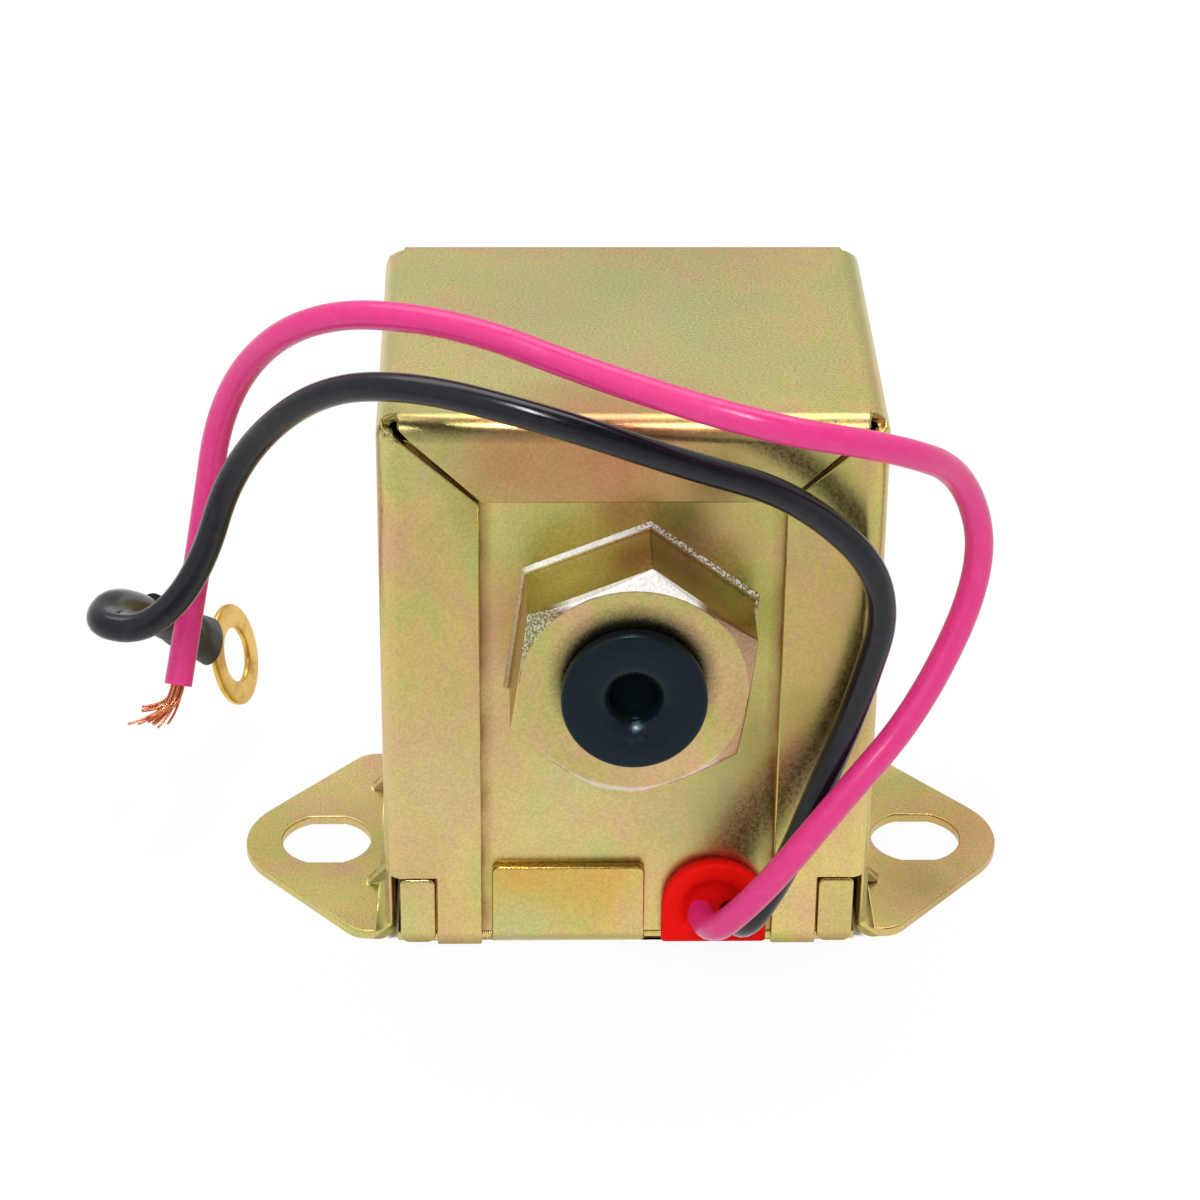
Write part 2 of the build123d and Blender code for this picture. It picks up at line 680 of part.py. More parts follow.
# Leads: the routes are points chosen by hand, first out of the grommet, last at the far end
pink_route = [
    (pink_lead_x, -lead_start, lead_exit_height),
    (pink_lead_x, -29.3, lead_exit_height),
    (14.6, -33.4, 13.4),
    (22.8, -32.6, 25.0),
    (32.5, -25.4, 33.2),
    (39.7, -19.8, 48.4),
    (36.4, -21.8, 61.2),
    (27.9, -31.4, 69.1),
    (13.8, -35.0, 73.3),
    (-3.2, -26.7, 75.0),
    (-20.1, -20.1, 79.0),
    (-36.0, -11.8, 75.9),
    (-45.9, -3.0, 62.2),
    (-48.7, -4.4, 44.8),
    (-51.6, -13.2, 29.3),
]
black_route = [
    (black_lead_x, -lead_start, lead_exit_height),
    (black_lead_x, -29.6, lead_exit_height),
    (17.6, -30.2, 14.4),
    (21.7, -28.0, 25.3),
    (25.1, -27.0, 34.4),
    (28.7, -27.9, 50.4),
    (18.0, -29.5, 62.3),
    (5.0, -30.6, 66.9),
    (-9.0, -30.2, 71.9),
    (-24.3, -25.3, 73.9),
    (-35.2, -18.2, 69.4),
    (-44.4, -12.6, 57.6),
    (-48.2, -15.7, 45.3),
    (-54.0, -19.6, 40.1),
    (-60.5, -17.4, 39.8),
    (-58.6, -8.7, 38.7),
    (-55.4, -3.0, 33.1),
]

for lead_name, route in (("pink_lead", pink_route), ("black_lead", black_route)):
    radii = corner_radii(route)
    with BuildPart() as lead:
        with BuildLine() as lead_line:
            FilletPolyline(*route, radius=radii)
        lead_path = lead_line.wire()
        with BuildSketch(Plane(origin=lead_path @ 0, z_dir=lead_path % 0)):
            Circle(lead_diameter / 2)
        sweep(path=lead_path)
    save(lead, lead_name)
    section_volume = lead_path.length * pi * (lead_diameter / 2) ** 2
    volume_ratio = lead.part.volume / section_volume
    print(lead_name, "length", round(lead_path.length, 1), "volume ratio", round(volume_ratio, 4))
    print(lead_name, "radii", [round(radius, 1) for radius in radii])

# Copper strands fan out of the pink lead's cut end, swept towards the near ear
strand_plane = Plane(
    origin=pink_route[-1], z_dir=Vector(*pink_route[-1]) - Vector(*pink_route[-2])
)
with BuildPart() as copper_strands:
    with BuildSketch(strand_plane):
        Circle(strand_bundle_diameter / 2)
    extrude(amount=strand_bundle_length)
    strand_circle = (strand_bundle_diameter - strand_diameter) / 2
    for index in range(strand_count):
        angle = 360 * index / strand_count
        root = Plane(
            origin=strand_plane.from_local_coords(
                Vector(strand_circle, 0, strand_bundle_length / 2).rotate(Axis.Z, angle)
            ),
            z_dir=strand_plane.from_local_coords(
                Vector(sin(radians(strand_spread)), 0, 1).rotate(Axis.Z, angle)
            ) - strand_plane.origin + Vector(*strand_lean),
        )
        with BuildSketch(root):
            Circle(strand_diameter / 2)
        extrude(amount=strand_length)
save(copper_strands, "copper_strands")

# Ring terminal and the sleeve shrunk over its barrel, in line with the black lead's last run
terminal_axis = (Vector(*black_route[-1]) - Vector(*black_route[-2])).normalized()
sleeve_start = Vector(*black_route[-1])
sleeve_end = sleeve_start + terminal_axis * sleeve_length
eyelet_centre = sleeve_end + terminal_axis * eyelet_reach

with BuildPart() as terminal_sleeve:
    with BuildSketch(Plane(origin=sleeve_start, z_dir=terminal_axis)):
        Circle(sleeve_start_diameter / 2)
    with BuildSketch(Plane(origin=sleeve_end, z_dir=terminal_axis)):
        Circle(sleeve_end_diameter / 2)
    loft()
    with BuildSketch(Plane(origin=sleeve_end, z_dir=-terminal_axis)):
        Circle(barrel_diameter / 2 + barrel_clearance)
    extrude(amount=barrel_depth, mode=Mode.SUBTRACT)
save(terminal_sleeve, "terminal_sleeve")

with BuildPart() as ring_terminal:
    side_axis = Vector(*eyelet_tilt).cross(terminal_axis).normalized()
    eyelet_plane = Plane(origin=eyelet_centre, x_dir=terminal_axis, z_dir=terminal_axis.cross(side_axis))
    with BuildSketch(eyelet_plane):
        Circle(eyelet_diameter / 2)
        Rectangle(eyelet_reach, eyelet_neck_width, align=(Align.MAX, Align.CENTER))
        Circle(eyelet_hole_diameter / 2, mode=Mode.SUBTRACT)
    extrude(amount=eyelet_thickness / 2, both=True)
    with BuildSketch(Plane(origin=sleeve_end, z_dir=-terminal_axis)):
        Circle(barrel_diameter / 2)
    extrude(amount=barrel_depth)
save(ring_terminal, "ring_terminal")
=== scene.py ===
"""Looks of the electric fuel pump: its leads, soft parts, finishes and a plain studio, in metres."""

import json
import logging
import math
from dataclasses import dataclass, field, replace
from enum import Enum
from pathlib import Path

import bmesh
import bpy
import numpy as np
from mathutils import Matrix, Vector
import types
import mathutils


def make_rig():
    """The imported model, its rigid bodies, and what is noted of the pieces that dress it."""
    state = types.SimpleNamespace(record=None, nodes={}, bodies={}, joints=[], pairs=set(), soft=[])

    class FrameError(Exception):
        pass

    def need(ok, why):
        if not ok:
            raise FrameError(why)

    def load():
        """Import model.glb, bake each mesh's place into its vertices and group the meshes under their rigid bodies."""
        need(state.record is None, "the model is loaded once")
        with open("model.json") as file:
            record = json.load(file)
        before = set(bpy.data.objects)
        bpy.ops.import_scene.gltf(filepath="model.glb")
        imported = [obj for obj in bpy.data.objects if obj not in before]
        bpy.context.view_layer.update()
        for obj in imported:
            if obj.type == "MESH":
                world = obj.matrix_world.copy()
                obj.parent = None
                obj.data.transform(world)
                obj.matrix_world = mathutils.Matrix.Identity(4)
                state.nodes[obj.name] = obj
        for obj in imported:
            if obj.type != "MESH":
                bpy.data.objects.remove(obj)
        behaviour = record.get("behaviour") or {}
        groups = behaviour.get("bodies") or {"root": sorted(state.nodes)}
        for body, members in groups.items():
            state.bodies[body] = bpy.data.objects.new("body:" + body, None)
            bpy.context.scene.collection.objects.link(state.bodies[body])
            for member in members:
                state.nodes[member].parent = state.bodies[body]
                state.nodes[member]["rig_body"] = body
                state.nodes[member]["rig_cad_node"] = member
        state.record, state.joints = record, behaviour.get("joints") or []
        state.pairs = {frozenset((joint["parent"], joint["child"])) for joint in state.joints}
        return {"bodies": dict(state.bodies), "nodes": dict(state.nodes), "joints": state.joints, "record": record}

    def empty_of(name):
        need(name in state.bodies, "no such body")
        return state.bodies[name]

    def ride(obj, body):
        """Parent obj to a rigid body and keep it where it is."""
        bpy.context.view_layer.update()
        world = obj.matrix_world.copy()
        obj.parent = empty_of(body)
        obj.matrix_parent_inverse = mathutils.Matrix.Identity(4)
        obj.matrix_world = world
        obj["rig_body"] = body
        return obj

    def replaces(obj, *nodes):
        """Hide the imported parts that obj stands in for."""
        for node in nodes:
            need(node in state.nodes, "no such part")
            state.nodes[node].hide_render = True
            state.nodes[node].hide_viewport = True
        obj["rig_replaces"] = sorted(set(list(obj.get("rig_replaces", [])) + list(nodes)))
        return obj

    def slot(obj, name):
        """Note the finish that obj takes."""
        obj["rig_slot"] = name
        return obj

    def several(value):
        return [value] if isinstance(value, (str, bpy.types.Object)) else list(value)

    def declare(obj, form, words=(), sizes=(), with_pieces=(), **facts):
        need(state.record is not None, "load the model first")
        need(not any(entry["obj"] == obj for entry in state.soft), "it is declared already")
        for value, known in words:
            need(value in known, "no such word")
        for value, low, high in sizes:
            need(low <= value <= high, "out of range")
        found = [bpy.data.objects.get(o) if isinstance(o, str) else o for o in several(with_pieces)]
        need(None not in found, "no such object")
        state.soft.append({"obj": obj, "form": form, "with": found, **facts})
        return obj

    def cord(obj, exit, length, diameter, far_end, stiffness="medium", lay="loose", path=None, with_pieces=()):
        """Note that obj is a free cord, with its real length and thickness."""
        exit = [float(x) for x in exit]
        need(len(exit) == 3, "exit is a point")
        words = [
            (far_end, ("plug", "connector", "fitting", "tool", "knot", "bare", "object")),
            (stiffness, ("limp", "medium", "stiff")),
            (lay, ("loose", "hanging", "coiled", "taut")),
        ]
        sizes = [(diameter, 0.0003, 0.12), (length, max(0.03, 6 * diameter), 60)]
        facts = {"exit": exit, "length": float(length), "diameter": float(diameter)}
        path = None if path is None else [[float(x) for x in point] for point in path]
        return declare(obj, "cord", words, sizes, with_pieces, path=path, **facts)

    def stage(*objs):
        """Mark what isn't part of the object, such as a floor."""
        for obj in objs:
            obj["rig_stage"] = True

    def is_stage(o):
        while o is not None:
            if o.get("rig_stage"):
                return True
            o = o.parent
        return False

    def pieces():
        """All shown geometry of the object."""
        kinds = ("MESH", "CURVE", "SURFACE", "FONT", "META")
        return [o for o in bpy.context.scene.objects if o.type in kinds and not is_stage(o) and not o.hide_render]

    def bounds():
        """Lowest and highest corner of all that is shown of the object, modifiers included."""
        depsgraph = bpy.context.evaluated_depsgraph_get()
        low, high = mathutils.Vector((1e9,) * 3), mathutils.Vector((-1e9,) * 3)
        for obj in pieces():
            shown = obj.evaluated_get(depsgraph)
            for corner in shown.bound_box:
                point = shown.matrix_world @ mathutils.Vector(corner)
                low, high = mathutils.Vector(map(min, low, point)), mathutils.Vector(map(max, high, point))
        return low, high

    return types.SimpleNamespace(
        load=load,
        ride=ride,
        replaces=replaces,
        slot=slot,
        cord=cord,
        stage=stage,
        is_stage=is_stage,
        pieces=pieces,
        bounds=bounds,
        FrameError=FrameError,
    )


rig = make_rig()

LOG = logging.getLogger("fuel_pump")
SIZE_FILE = Path("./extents.json")
MM = 0.001
TURN = 2.0 * math.pi

Colour = tuple[float, float, float]
Point = tuple[float, float, float]
Span = tuple[float, float]
Fade = tuple[float, float, float, float]
Stops = tuple[tuple[float, Colour], ...]
Socket = bpy.types.NodeSocket
Piece = bpy.types.Object

# Most values of a noise lie in the first range, and nearly all in the second.
MIDDLE: Span = (0.35, 0.65)
WIDE: Span = (0.3, 0.7)
WHITE: Colour = (1.0, 1.0, 1.0)
GREY: Colour = (0.5, 0.5, 0.5)


class Body(str, Enum):
    """The rigid bodies that pieces ride on."""

    PUMP = "pump"
    OUTLET_CAP = "outlet_port_cap"
    INLET_CAP = "inlet_port_cap"


class Port(Enum):
    """The two ends of the bore, by the way they face along Y."""

    OUTLET = -1
    INLET = 1


@dataclass(frozen=True)
class Bloom:
    """One place with another hue: its centre and reach in millimetres, and its share in the middle."""

    centre: Point
    reach: float
    colour: Colour
    strength: float = 0.8


class Graph:
    """Adds and joins the shader nodes of one material or world."""

    # A bloom's border wanders by the first; it starts and is full at the others, in parts of its reach.
    RAGGED = 0.9
    SPREAD: Span = (1.45, 0.55)

    def __init__(self, tree: bpy.types.NodeTree) -> None:
        """Starts from an empty node tree."""
        self.tree = tree
        self.tree.nodes.clear()

    def feed(self, target: Socket, value: object) -> None:
        """Links a socket to an input, or sets the input to a constant.

        Args:
            target: The input.
            value: A socket, a number, a point or a colour.
        """
        if isinstance(value, Socket):
            self.tree.links.new(value, target)
        else:
            target.default_value = (*value, 1.0) if target.type == "RGBA" else value

    def add(self, kind: str, inputs: dict | None = None, **settings: object) -> bpy.types.Node:
        """Adds one node.

        Args:
            kind: The node's type name without its first part.
            inputs: What goes into its inputs, by their names or numbers.
            **settings: Properties to set on it.

        Returns:
            The new node.
        """
        node = self.tree.nodes.new("ShaderNode" + kind)
        for name, value in settings.items():
            setattr(node, name, value)
        for key, value in (inputs or {}).items():
            self.feed(node.inputs[key], value)
        return node

    def compute(self, operation: str, *values: Socket | float) -> Socket:
        """Works out one value from others."""
        return self.add("Math", dict(enumerate(values)), operation=operation).outputs[0]

    def times(self, first: Socket, second: Socket) -> Socket:
        """Multiplies two values."""
        return self.compute("MULTIPLY", first, second)

    def position(self) -> Socket:
        """Gives the object coordinates."""
        return self.add("TexCoord").outputs["Object"]

    def place(self, stretch: Point = (1.0, 1.0, 1.0)) -> Socket:
        """Gives object coordinates stretched by a factor along each axis."""
        return self.add("Mapping", {"Vector": self.position(), "Scale": stretch}).outputs["Vector"]

    def noise(self, where: Socket, size: float, detail: float = 2.0, warp: float = 0.0) -> Socket:
        """Adds a noise: the size of its features in millimetres, its finer octaves and its distortion."""
        inputs = {"Vector": where, "Scale": 1.0 / (size * MM), "Detail": detail, "Distortion": warp}
        return self.add("TexNoise", inputs).outputs["Fac"]

    def cells(self, where: Socket, size: float) -> Socket:
        """Gives crystal-like cells of a size in millimetres, each with a random value of its own."""
        pattern = self.add("TexVoronoi", {"Vector": where, "Scale": 1.0 / (size * MM)}, feature="F1")
        return self.add("SeparateColor", {"Color": pattern.outputs["Color"]}).outputs[0]

    def bands(self, where: Socket, pitch: float, axis: str, warp: float = 0.0) -> Socket:
        """Adds straight bands, such as lathe marks, that follow each other along an axis in millimetres."""
        # The wave node makes one band every pi / 10 units.
        inputs = {"Vector": where, "Scale": math.pi / 10.0 / (pitch * MM), "Distortion": warp}
        return self.add("TexWave", inputs, bands_direction=axis).outputs["Fac"]

    def ramp(self, value: Socket, stops: Stops) -> Socket:
        """Colours a value by a list of stops.

        Args:
            value: The value to colour.
            stops: Positions from 0 to 1 with their colours.

        Returns:
            The colour socket.
        """
        node = self.add("ValToRGB", {"Fac": value})
        elements = node.color_ramp.elements
        while len(elements) < len(stops):
            elements.new(0.5)
        for element, (position, colour) in zip(elements, stops):
            element.position = position
            element.color = (*colour, 1.0)
        return node.outputs["Color"]

    def scale(self, value: Socket, low: float, high: float, start: float = 0.0, end: float = 1.0) -> Socket:
        """Maps a value so that low becomes start and high becomes end, clamped to those two."""
        inputs = {"Value": value, "From Min": low, "From Max": high, "To Min": start, "To Max": end}
        return self.add("MapRange", inputs).outputs["Result"]

    def bloom(self, bloom: Bloom, clouds: Socket) -> Socket:
        """Fades from a bloom's middle outwards, with a ragged border.

        Args:
            bloom: The bloom.
            clouds: The noise that makes its border ragged.

        Returns:
            The fade, from the bloom's strength down to 0.
        """
        ends = {0: self.position(), 1: tuple(value * MM for value in bloom.centre)}
        offset = self.add("VectorMath", ends, operation="DISTANCE").outputs["Value"]
        ragged = self.compute("MULTIPLY_ADD", clouds, self.RAGGED * bloom.reach * MM, offset)
        return self.scale(ragged, *(part * bloom.reach * MM for part in self.SPREAD), 0.0, bloom.strength)

    def along(self, axis: str, middle: float = 0.0) -> Socket:
        """Measures how far a point is beyond a plane square to an axis, in signed millimetres."""
        split = self.add("SeparateXYZ", {"Vector": self.position()})
        return self.compute("MULTIPLY_ADD", split.outputs[axis], 1.0 / MM, -middle)

    def away(self, axis: str, middle: float = 0.0) -> Socket:
        """Measures how far a point is from a plane square to an axis, to either side."""
        return self.compute("ABSOLUTE", self.along(axis, middle))

    def reach(self, height: float) -> Socket:
        """Measures how far a point is from the line along Y at a height, in millimetres."""
        across, up = self.away("X"), self.away("Z", height)
        return self.compute("SQRT", self.compute("MULTIPLY_ADD", across, across, self.times(up, up)))

    def mix(self, amount: Socket | float, first: Socket | Colour, second: Socket | Colour,
            blend: str = "MIX") -> Socket:
        """Lays an amount, from 0 to 1, of the second colour on the first."""
        inputs = {0: amount, 6: first, 7: second}
        return self.add("Mix", inputs, data_type="RGBA", blend_type=blend).outputs[2]

    def bump(self, height: Socket, depth: float, strength: float = 1.0, under: Socket | None = None) -> Socket:
        """Turns a height of a real depth in millimetres into a normal, which may add to one under it."""
        inputs = {"Strength": strength, "Distance": depth * MM, "Height": height}
        return self.add("Bump", inputs | ({"Normal": under} if under else {})).outputs["Normal"]

    def surface(self, **inputs: Socket | Colour | float) -> None:
        """Ends the material in one surface shader, with its inputs by name and underscores for spaces."""
        named = {name.replace("_", " "): value for name, value in inputs.items()}
        self.add("OutputMaterial", {"Surface": self.add("BsdfPrincipled", named).outputs["BSDF"]})


@dataclass(frozen=True)
class Finish:
    """What every finish has: a name, and a material that is made once."""

    name: str

    def material(self) -> bpy.types.Material:
        """Gives the finish's material, making it at the first call.

        Returns:
            The material.
        """
        made = bpy.data.materials.get(self.name)
        if made is None:
            made = bpy.data.materials.new(self.name)
            made.use_nodes = True
            self.draw(Graph(made.node_tree))
        return made

    def draw(self, graph: Graph) -> None:
        """Fills the material's node tree."""
        raise NotImplementedError

    def dress(self, piece: Piece) -> None:
        """Puts the finish on a whole piece.

        Args:
            piece: A mesh or a curve.
        """
        if not piece.material_slots:
            piece.data.materials.append(None)
        for slot in piece.material_slots:
            slot.material = self.material()


@dataclass(frozen=True)
class YellowZinc(Finish):
    """Yellow chromated zinc on steel: satin gold with green and rose clouds and streaks, larger blooms
    of hue where the bath drained and a few blooms of painted shade and highlights, painted shade
    along the lower edges, and a fine crystal grain."""

    gold: Colour = (0.74, 0.58, 0.20)
    green: Colour = (0.57, 0.57, 0.19)
    rose: Colour = (0.72, 0.47, 0.25)
    hue_steps: Point = (0.36, 0.50, 0.64)
    blooms: tuple[Bloom, ...] = ()
    patch_size: float = 15.0
    streak_size: float = 3.5
    streak_stretch: Point = (1.0, 1.0, 0.4)
    streak_share: float = 0.4
    tints: Stops = ((0.38, (0.42, 0.55, 0.40)), (0.62, (0.62, 0.45, 0.54)))
    tint_share: float = 0.2
    drift_patches: float = 2.6
    drift: Span = (0.94, 1.06)
    speck: Span = (0.87, 1.09)
    grain_size: float = 0.30
    grain_depth: float = 0.009
    roughness: float = 0.30
    unevenness: float = 0.06
    wave_size: float = 6.0
    wave_depth: float = 0.02
    # Painted shade: the front sheets grow darker towards their lower edges, next to the floor.
    low_shade: Colour = (0.20, 0.13, 0.05)
    low_shade_share: float = 0.6
    low_shade_heights: Span = (2.0, 0.3)
    end_depths: Span = (22.9, 23.1)

    def draw(self, graph: Graph) -> None:
        """Lays clouds, streaks, blooms, painted light, painted shade on the lower edges, a brightness drift
        and grain over each other.

        Args:
            graph: The material's nodes.
        """
        where = graph.place()
        clouds = graph.noise(where, self.patch_size, detail=2.5, warp=0.6)
        streaks = graph.noise(graph.place(self.streak_stretch), self.streak_size, detail=3.0, warp=0.8)
        stops = tuple(zip(self.hue_steps, (self.green, self.gold, self.rose)))
        hue = graph.mix(self.streak_share, graph.ramp(clouds, stops), graph.ramp(streaks, stops))
        for bloom in self.blooms:
            hue = graph.mix(graph.bloom(bloom, clouds), hue, bloom.colour)
        hue = graph.mix(self.tint_share, hue, graph.ramp(streaks, self.tints), "SOFT_LIGHT")
        hue, metal = self.painted_light(graph, hue)
        # Painted shade: darker towards the bottom of the front sheets, which end_depths picks out.
        low = graph.times(graph.scale(graph.away("Y"), *self.end_depths),
                          graph.scale(graph.along("Z"), *self.low_shade_heights, 0.0, self.low_shade_share))
        hue = graph.mix(low, hue, self.low_shade)
        broad = graph.noise(where, self.drift_patches * self.patch_size, detail=1.0)
        drift = graph.scale(broad, *MIDDLE, *self.drift)
        grain = graph.noise(where, self.grain_size, detail=3.0)
        speck = graph.scale(grain, *MIDDLE, *self.speck)
        tone = graph.mix(1.0, graph.mix(1.0, hue, drift, "MULTIPLY"), speck, "MULTIPLY")
        rough = graph.scale(grain, *WIDE, self.roughness - self.unevenness, self.roughness + self.unevenness)
        waves = graph.bump(graph.noise(where, self.wave_size, detail=1.0), self.wave_depth, strength=0.5)
        normal = graph.bump(grain, self.grain_depth, under=waves)
        graph.surface(Base_Color=tone, Roughness=rough, Normal=normal, Metallic=metal)

    def painted_light(self, graph: Graph, hue: Socket) -> tuple[Socket, Socket | float]:
        """Leaves the hue and the metal's share as they are; a piece with painted light changes them here."""
        return hue, 1.0


@dataclass(frozen=True)
class WindowZinc(YellowZinc):
    """The end plate's zinc, with a painted brown reflection in a narrow line along the flaps that frame it."""

    stain_and_edge_reflection: Colour = (0.30, 0.15, 0.06)
    edge_reflection_places: Span = (15.3, 16.8)
    edge_reflection_size: float = 5.0
    edge_reflection_shares: Fade = (0.35, 0.6, 0.45, 1.0)

    def painted_light(self, graph: Graph, hue: Socket) -> tuple[Socket, float]:
        """Fades the painted reflection in from the flaps' edges at both sides.

        Args:
            graph: The material's nodes.
            hue: The hue so far.

        Returns:
            The stained hue, and the metal's share.
        """
        # Painted reflection: a ragged brown line on the plate along both flaps' edges.
        ragged = graph.noise(graph.place(), self.edge_reflection_size, detail=3.0)
        share = graph.times(graph.scale(graph.away("X"), *self.edge_reflection_places),
                            graph.scale(ragged, *self.edge_reflection_shares))
        return graph.mix(share, hue, self.stain_and_edge_reflection), 1.0


@dataclass(frozen=True)
class PaintedLightHex(YellowZinc):
    """A hex fitting's zinc with painted light: a painted silvery highlight round its root and on the top of
    its chamfer, painted grainy glints on the chamfer's left, painted bronze shade on its right, a painted
    edge line round its face, dark above and pale below, and a painted dark shade and reflection of the
    plug, mostly above it.
    A span holds the distances in millimetres where a mark starts and where it is full, and a fade
    also its share at both."""

    # Painted highlight: the silvery white laid on the root and on the chamfer's top.
    painted_highlight: Colour = (0.96, 0.94, 0.89)
    sparkle_glint: Colour = (0.80, 0.80, 0.62)
    pit: Colour = (0.22, 0.19, 0.06)
    bronze_shade: Colour = (0.52, 0.30, 0.18)
    rim: Colour = (0.34, 0.16, 0.09)
    rim_highlight: Colour = (0.86, 0.78, 0.74)
    plug_shade: Colour = (0.055, 0.050, 0.030)
    axis_height: float = 40.5
    plug_shade_height: float = 42.1
    grit_size: float = 0.24
    face_depths: Span = (33.0, 33.3)
    chamfer_depths: Span = (32.1, 32.2)
    chamfer_radii: Span = (12.5, 12.56)
    chamfer_left: Fade = (42.5, 45.5, 0.0, 0.8)
    chamfer_right: Fade = (3.0, 6.0, 0.0, 0.85)
    chamfer_top: Span = (50.4, 51.4)
    chamfer_grit: Span = (0.44, 0.60)
    rim_radii: Fade = (12.28, 12.5, 0.0, 0.6)
    rim_top: Span = (48.0, 51.0)
    rim_bottom: Span = (33.0, 30.0)
    plug_shade_radii: Fade = (9.7, 7.2, 0.0, 0.94)
    plug_shade_ragged: Span = (0.97, 1.03)
    root_depths: Span = (23.3, 23.2)
    root_right: Span = (-1.0, 1.0)
    root_grit: Span = (0.42, 0.56)
    root_left: Fade = (-12.0, -10.5, 0.4, 1.0)
    highlight_metal_share: Fade = (0.0, 1.0, 1.0, 0.35)

    def painted_light(self, graph: Graph, hue: Socket) -> tuple[Socket, Socket]:
        """Finds the root by its depth, the chamfer by its depth and its distance from the bore's axis,
        and the painted shade of the plug by its distance from a line a little above that axis.

        Args:
            graph: The material's nodes.
            hue: The hue so far.

        Returns:
            The hue with its painted light, and the metal's share.
        """
        depth, height, across = graph.away("Y"), graph.away("Z"), graph.along("X")
        out = graph.reach(self.axis_height)
        grit = graph.noise(graph.place(), self.grit_size)
        face = graph.scale(depth, *self.face_depths)
        chamfer = graph.times(graph.scale(depth, *self.chamfer_depths), graph.scale(out, *self.chamfer_radii))
        # Painted glints: grainy pale sparkles among dark grain on the chamfer's left.
        painted_sparkles = graph.mix(graph.scale(grit, *self.chamfer_grit), self.pit, self.sparkle_glint)
        left = graph.times(chamfer, graph.scale(height, *self.chamfer_left))
        # Painted shade: the chamfer's right is laid darker, in bronze.
        right = graph.times(chamfer, graph.scale(across, *self.chamfer_right))
        hue = graph.mix(right, graph.mix(left, hue, painted_sparkles), self.bronze_shade)
        # Painted light on the face's edge: a dark line over the upper half and a pale highlight on the lower half.
        edge = graph.times(graph.scale(out, *self.rim_radii), face)
        for heights, colour in ((self.rim_top, self.rim), (self.rim_bottom, self.rim_highlight)):
            hue = graph.mix(graph.times(edge, graph.scale(height, *heights)), hue, colour)
        # Painted shade and reflection of the plug: a dark ring on the hex face round the plug, strongest above it.
        ragged = graph.times(graph.scale(grit, *MIDDLE, *self.plug_shade_ragged), graph.reach(self.plug_shade_height))
        plug_shade = graph.times(graph.scale(ragged, *self.plug_shade_radii), face)
        hue = graph.mix(plug_shade, hue, self.plug_shade)
        # Painted highlight: the chamfer's top and the root, broken by grit, turn silvery white and less metallic; bare
        # is the highlight's share.
        top = graph.times(chamfer, graph.scale(height, *self.chamfer_top))
        glinted = graph.mix(graph.scale(across, *self.root_right), WHITE, graph.scale(grit, *self.root_grit))
        root = graph.times(graph.times(graph.scale(depth, *self.root_depths), glinted),
                           graph.scale(across, *self.root_left))
        bare = graph.compute("MAXIMUM", top, root)
        return graph.mix(bare, hue, self.painted_highlight), graph.scale(bare, *self.highlight_metal_share)


@dataclass(frozen=True)
class Insulation(Finish):
    """Soft extruded plastic: even colour, a slow drift in gloss and faint scuffs."""

    colour: Colour = GREY
    scuffed: Colour = GREY
    roughness: float = 0.34
    unevenness: Span = (-0.05, 0.07)
    scuff_size: float = 1.3
    scuff_steps: Span = (0.52, 0.78)
    scuff_depth: float = 0.008
    gloss_size: float = 7.0
    shine: float = 0.5

    def draw(self, graph: Graph) -> None:
        """Lays scuffs on the colour and on the gloss.

        Args:
            graph: The material's nodes.
        """
        where = graph.place()
        scuffs = graph.noise(where, self.scuff_size, detail=4.0, warp=0.4)
        tone = graph.mix(graph.scale(scuffs, *self.scuff_steps), self.colour, self.scuffed)
        rough = graph.scale(graph.noise(where, self.gloss_size), *MIDDLE,
                            *(self.roughness + change for change in self.unevenness))
        normal = graph.bump(scuffs, self.scuff_depth, strength=0.35)
        graph.surface(Base_Color=tone, Roughness=rough, Normal=normal, Specular_IOR_Level=self.shine)


@dataclass(frozen=True)
class Moulded(Finish):
    """Moulded rubber or plastic: fine grain, faint flow marks and dust in the grain."""

    colour: Colour = GREY
    dust: Colour = GREY
    dust_shares: Fade = (0.45, 0.75, 0.0, 0.2)
    roughness: float = 0.45
    unevenness: float = 0.06
    flow_size: float = 4.0
    grain_size: float = 0.25
    grain_depth: float = 0.012
    shine: float = 0.5
    glint: Colour = WHITE

    def draw(self, graph: Graph) -> None:
        """Lays dust on the colour, and grain on the surface.

        Args:
            graph: The material's nodes.
        """
        where = graph.place()
        flow = graph.noise(where, self.flow_size, detail=3.0, warp=0.6)
        grain = graph.noise(where, self.grain_size)
        dusty = graph.mix(graph.scale(flow, *self.dust_shares), self.colour, self.dust)
        rough = graph.scale(flow, *MIDDLE, self.roughness - self.unevenness, self.roughness + self.unevenness)
        graph.surface(Base_Color=self.glinted(graph, dusty), Roughness=rough,
                      Normal=graph.bump(grain, self.grain_depth, strength=0.5),
                      Specular_IOR_Level=self.gloss(graph), Specular_Tint=self.glint)

    def glinted(self, graph: Graph, tone: Socket) -> Socket:
        """Leaves the colour as it is; a piece with a painted glint changes it here."""
        return tone

    def gloss(self, graph: Graph) -> Socket | float:
        """Gives one shine all over; a piece whose shine varies changes it here."""
        return self.shine


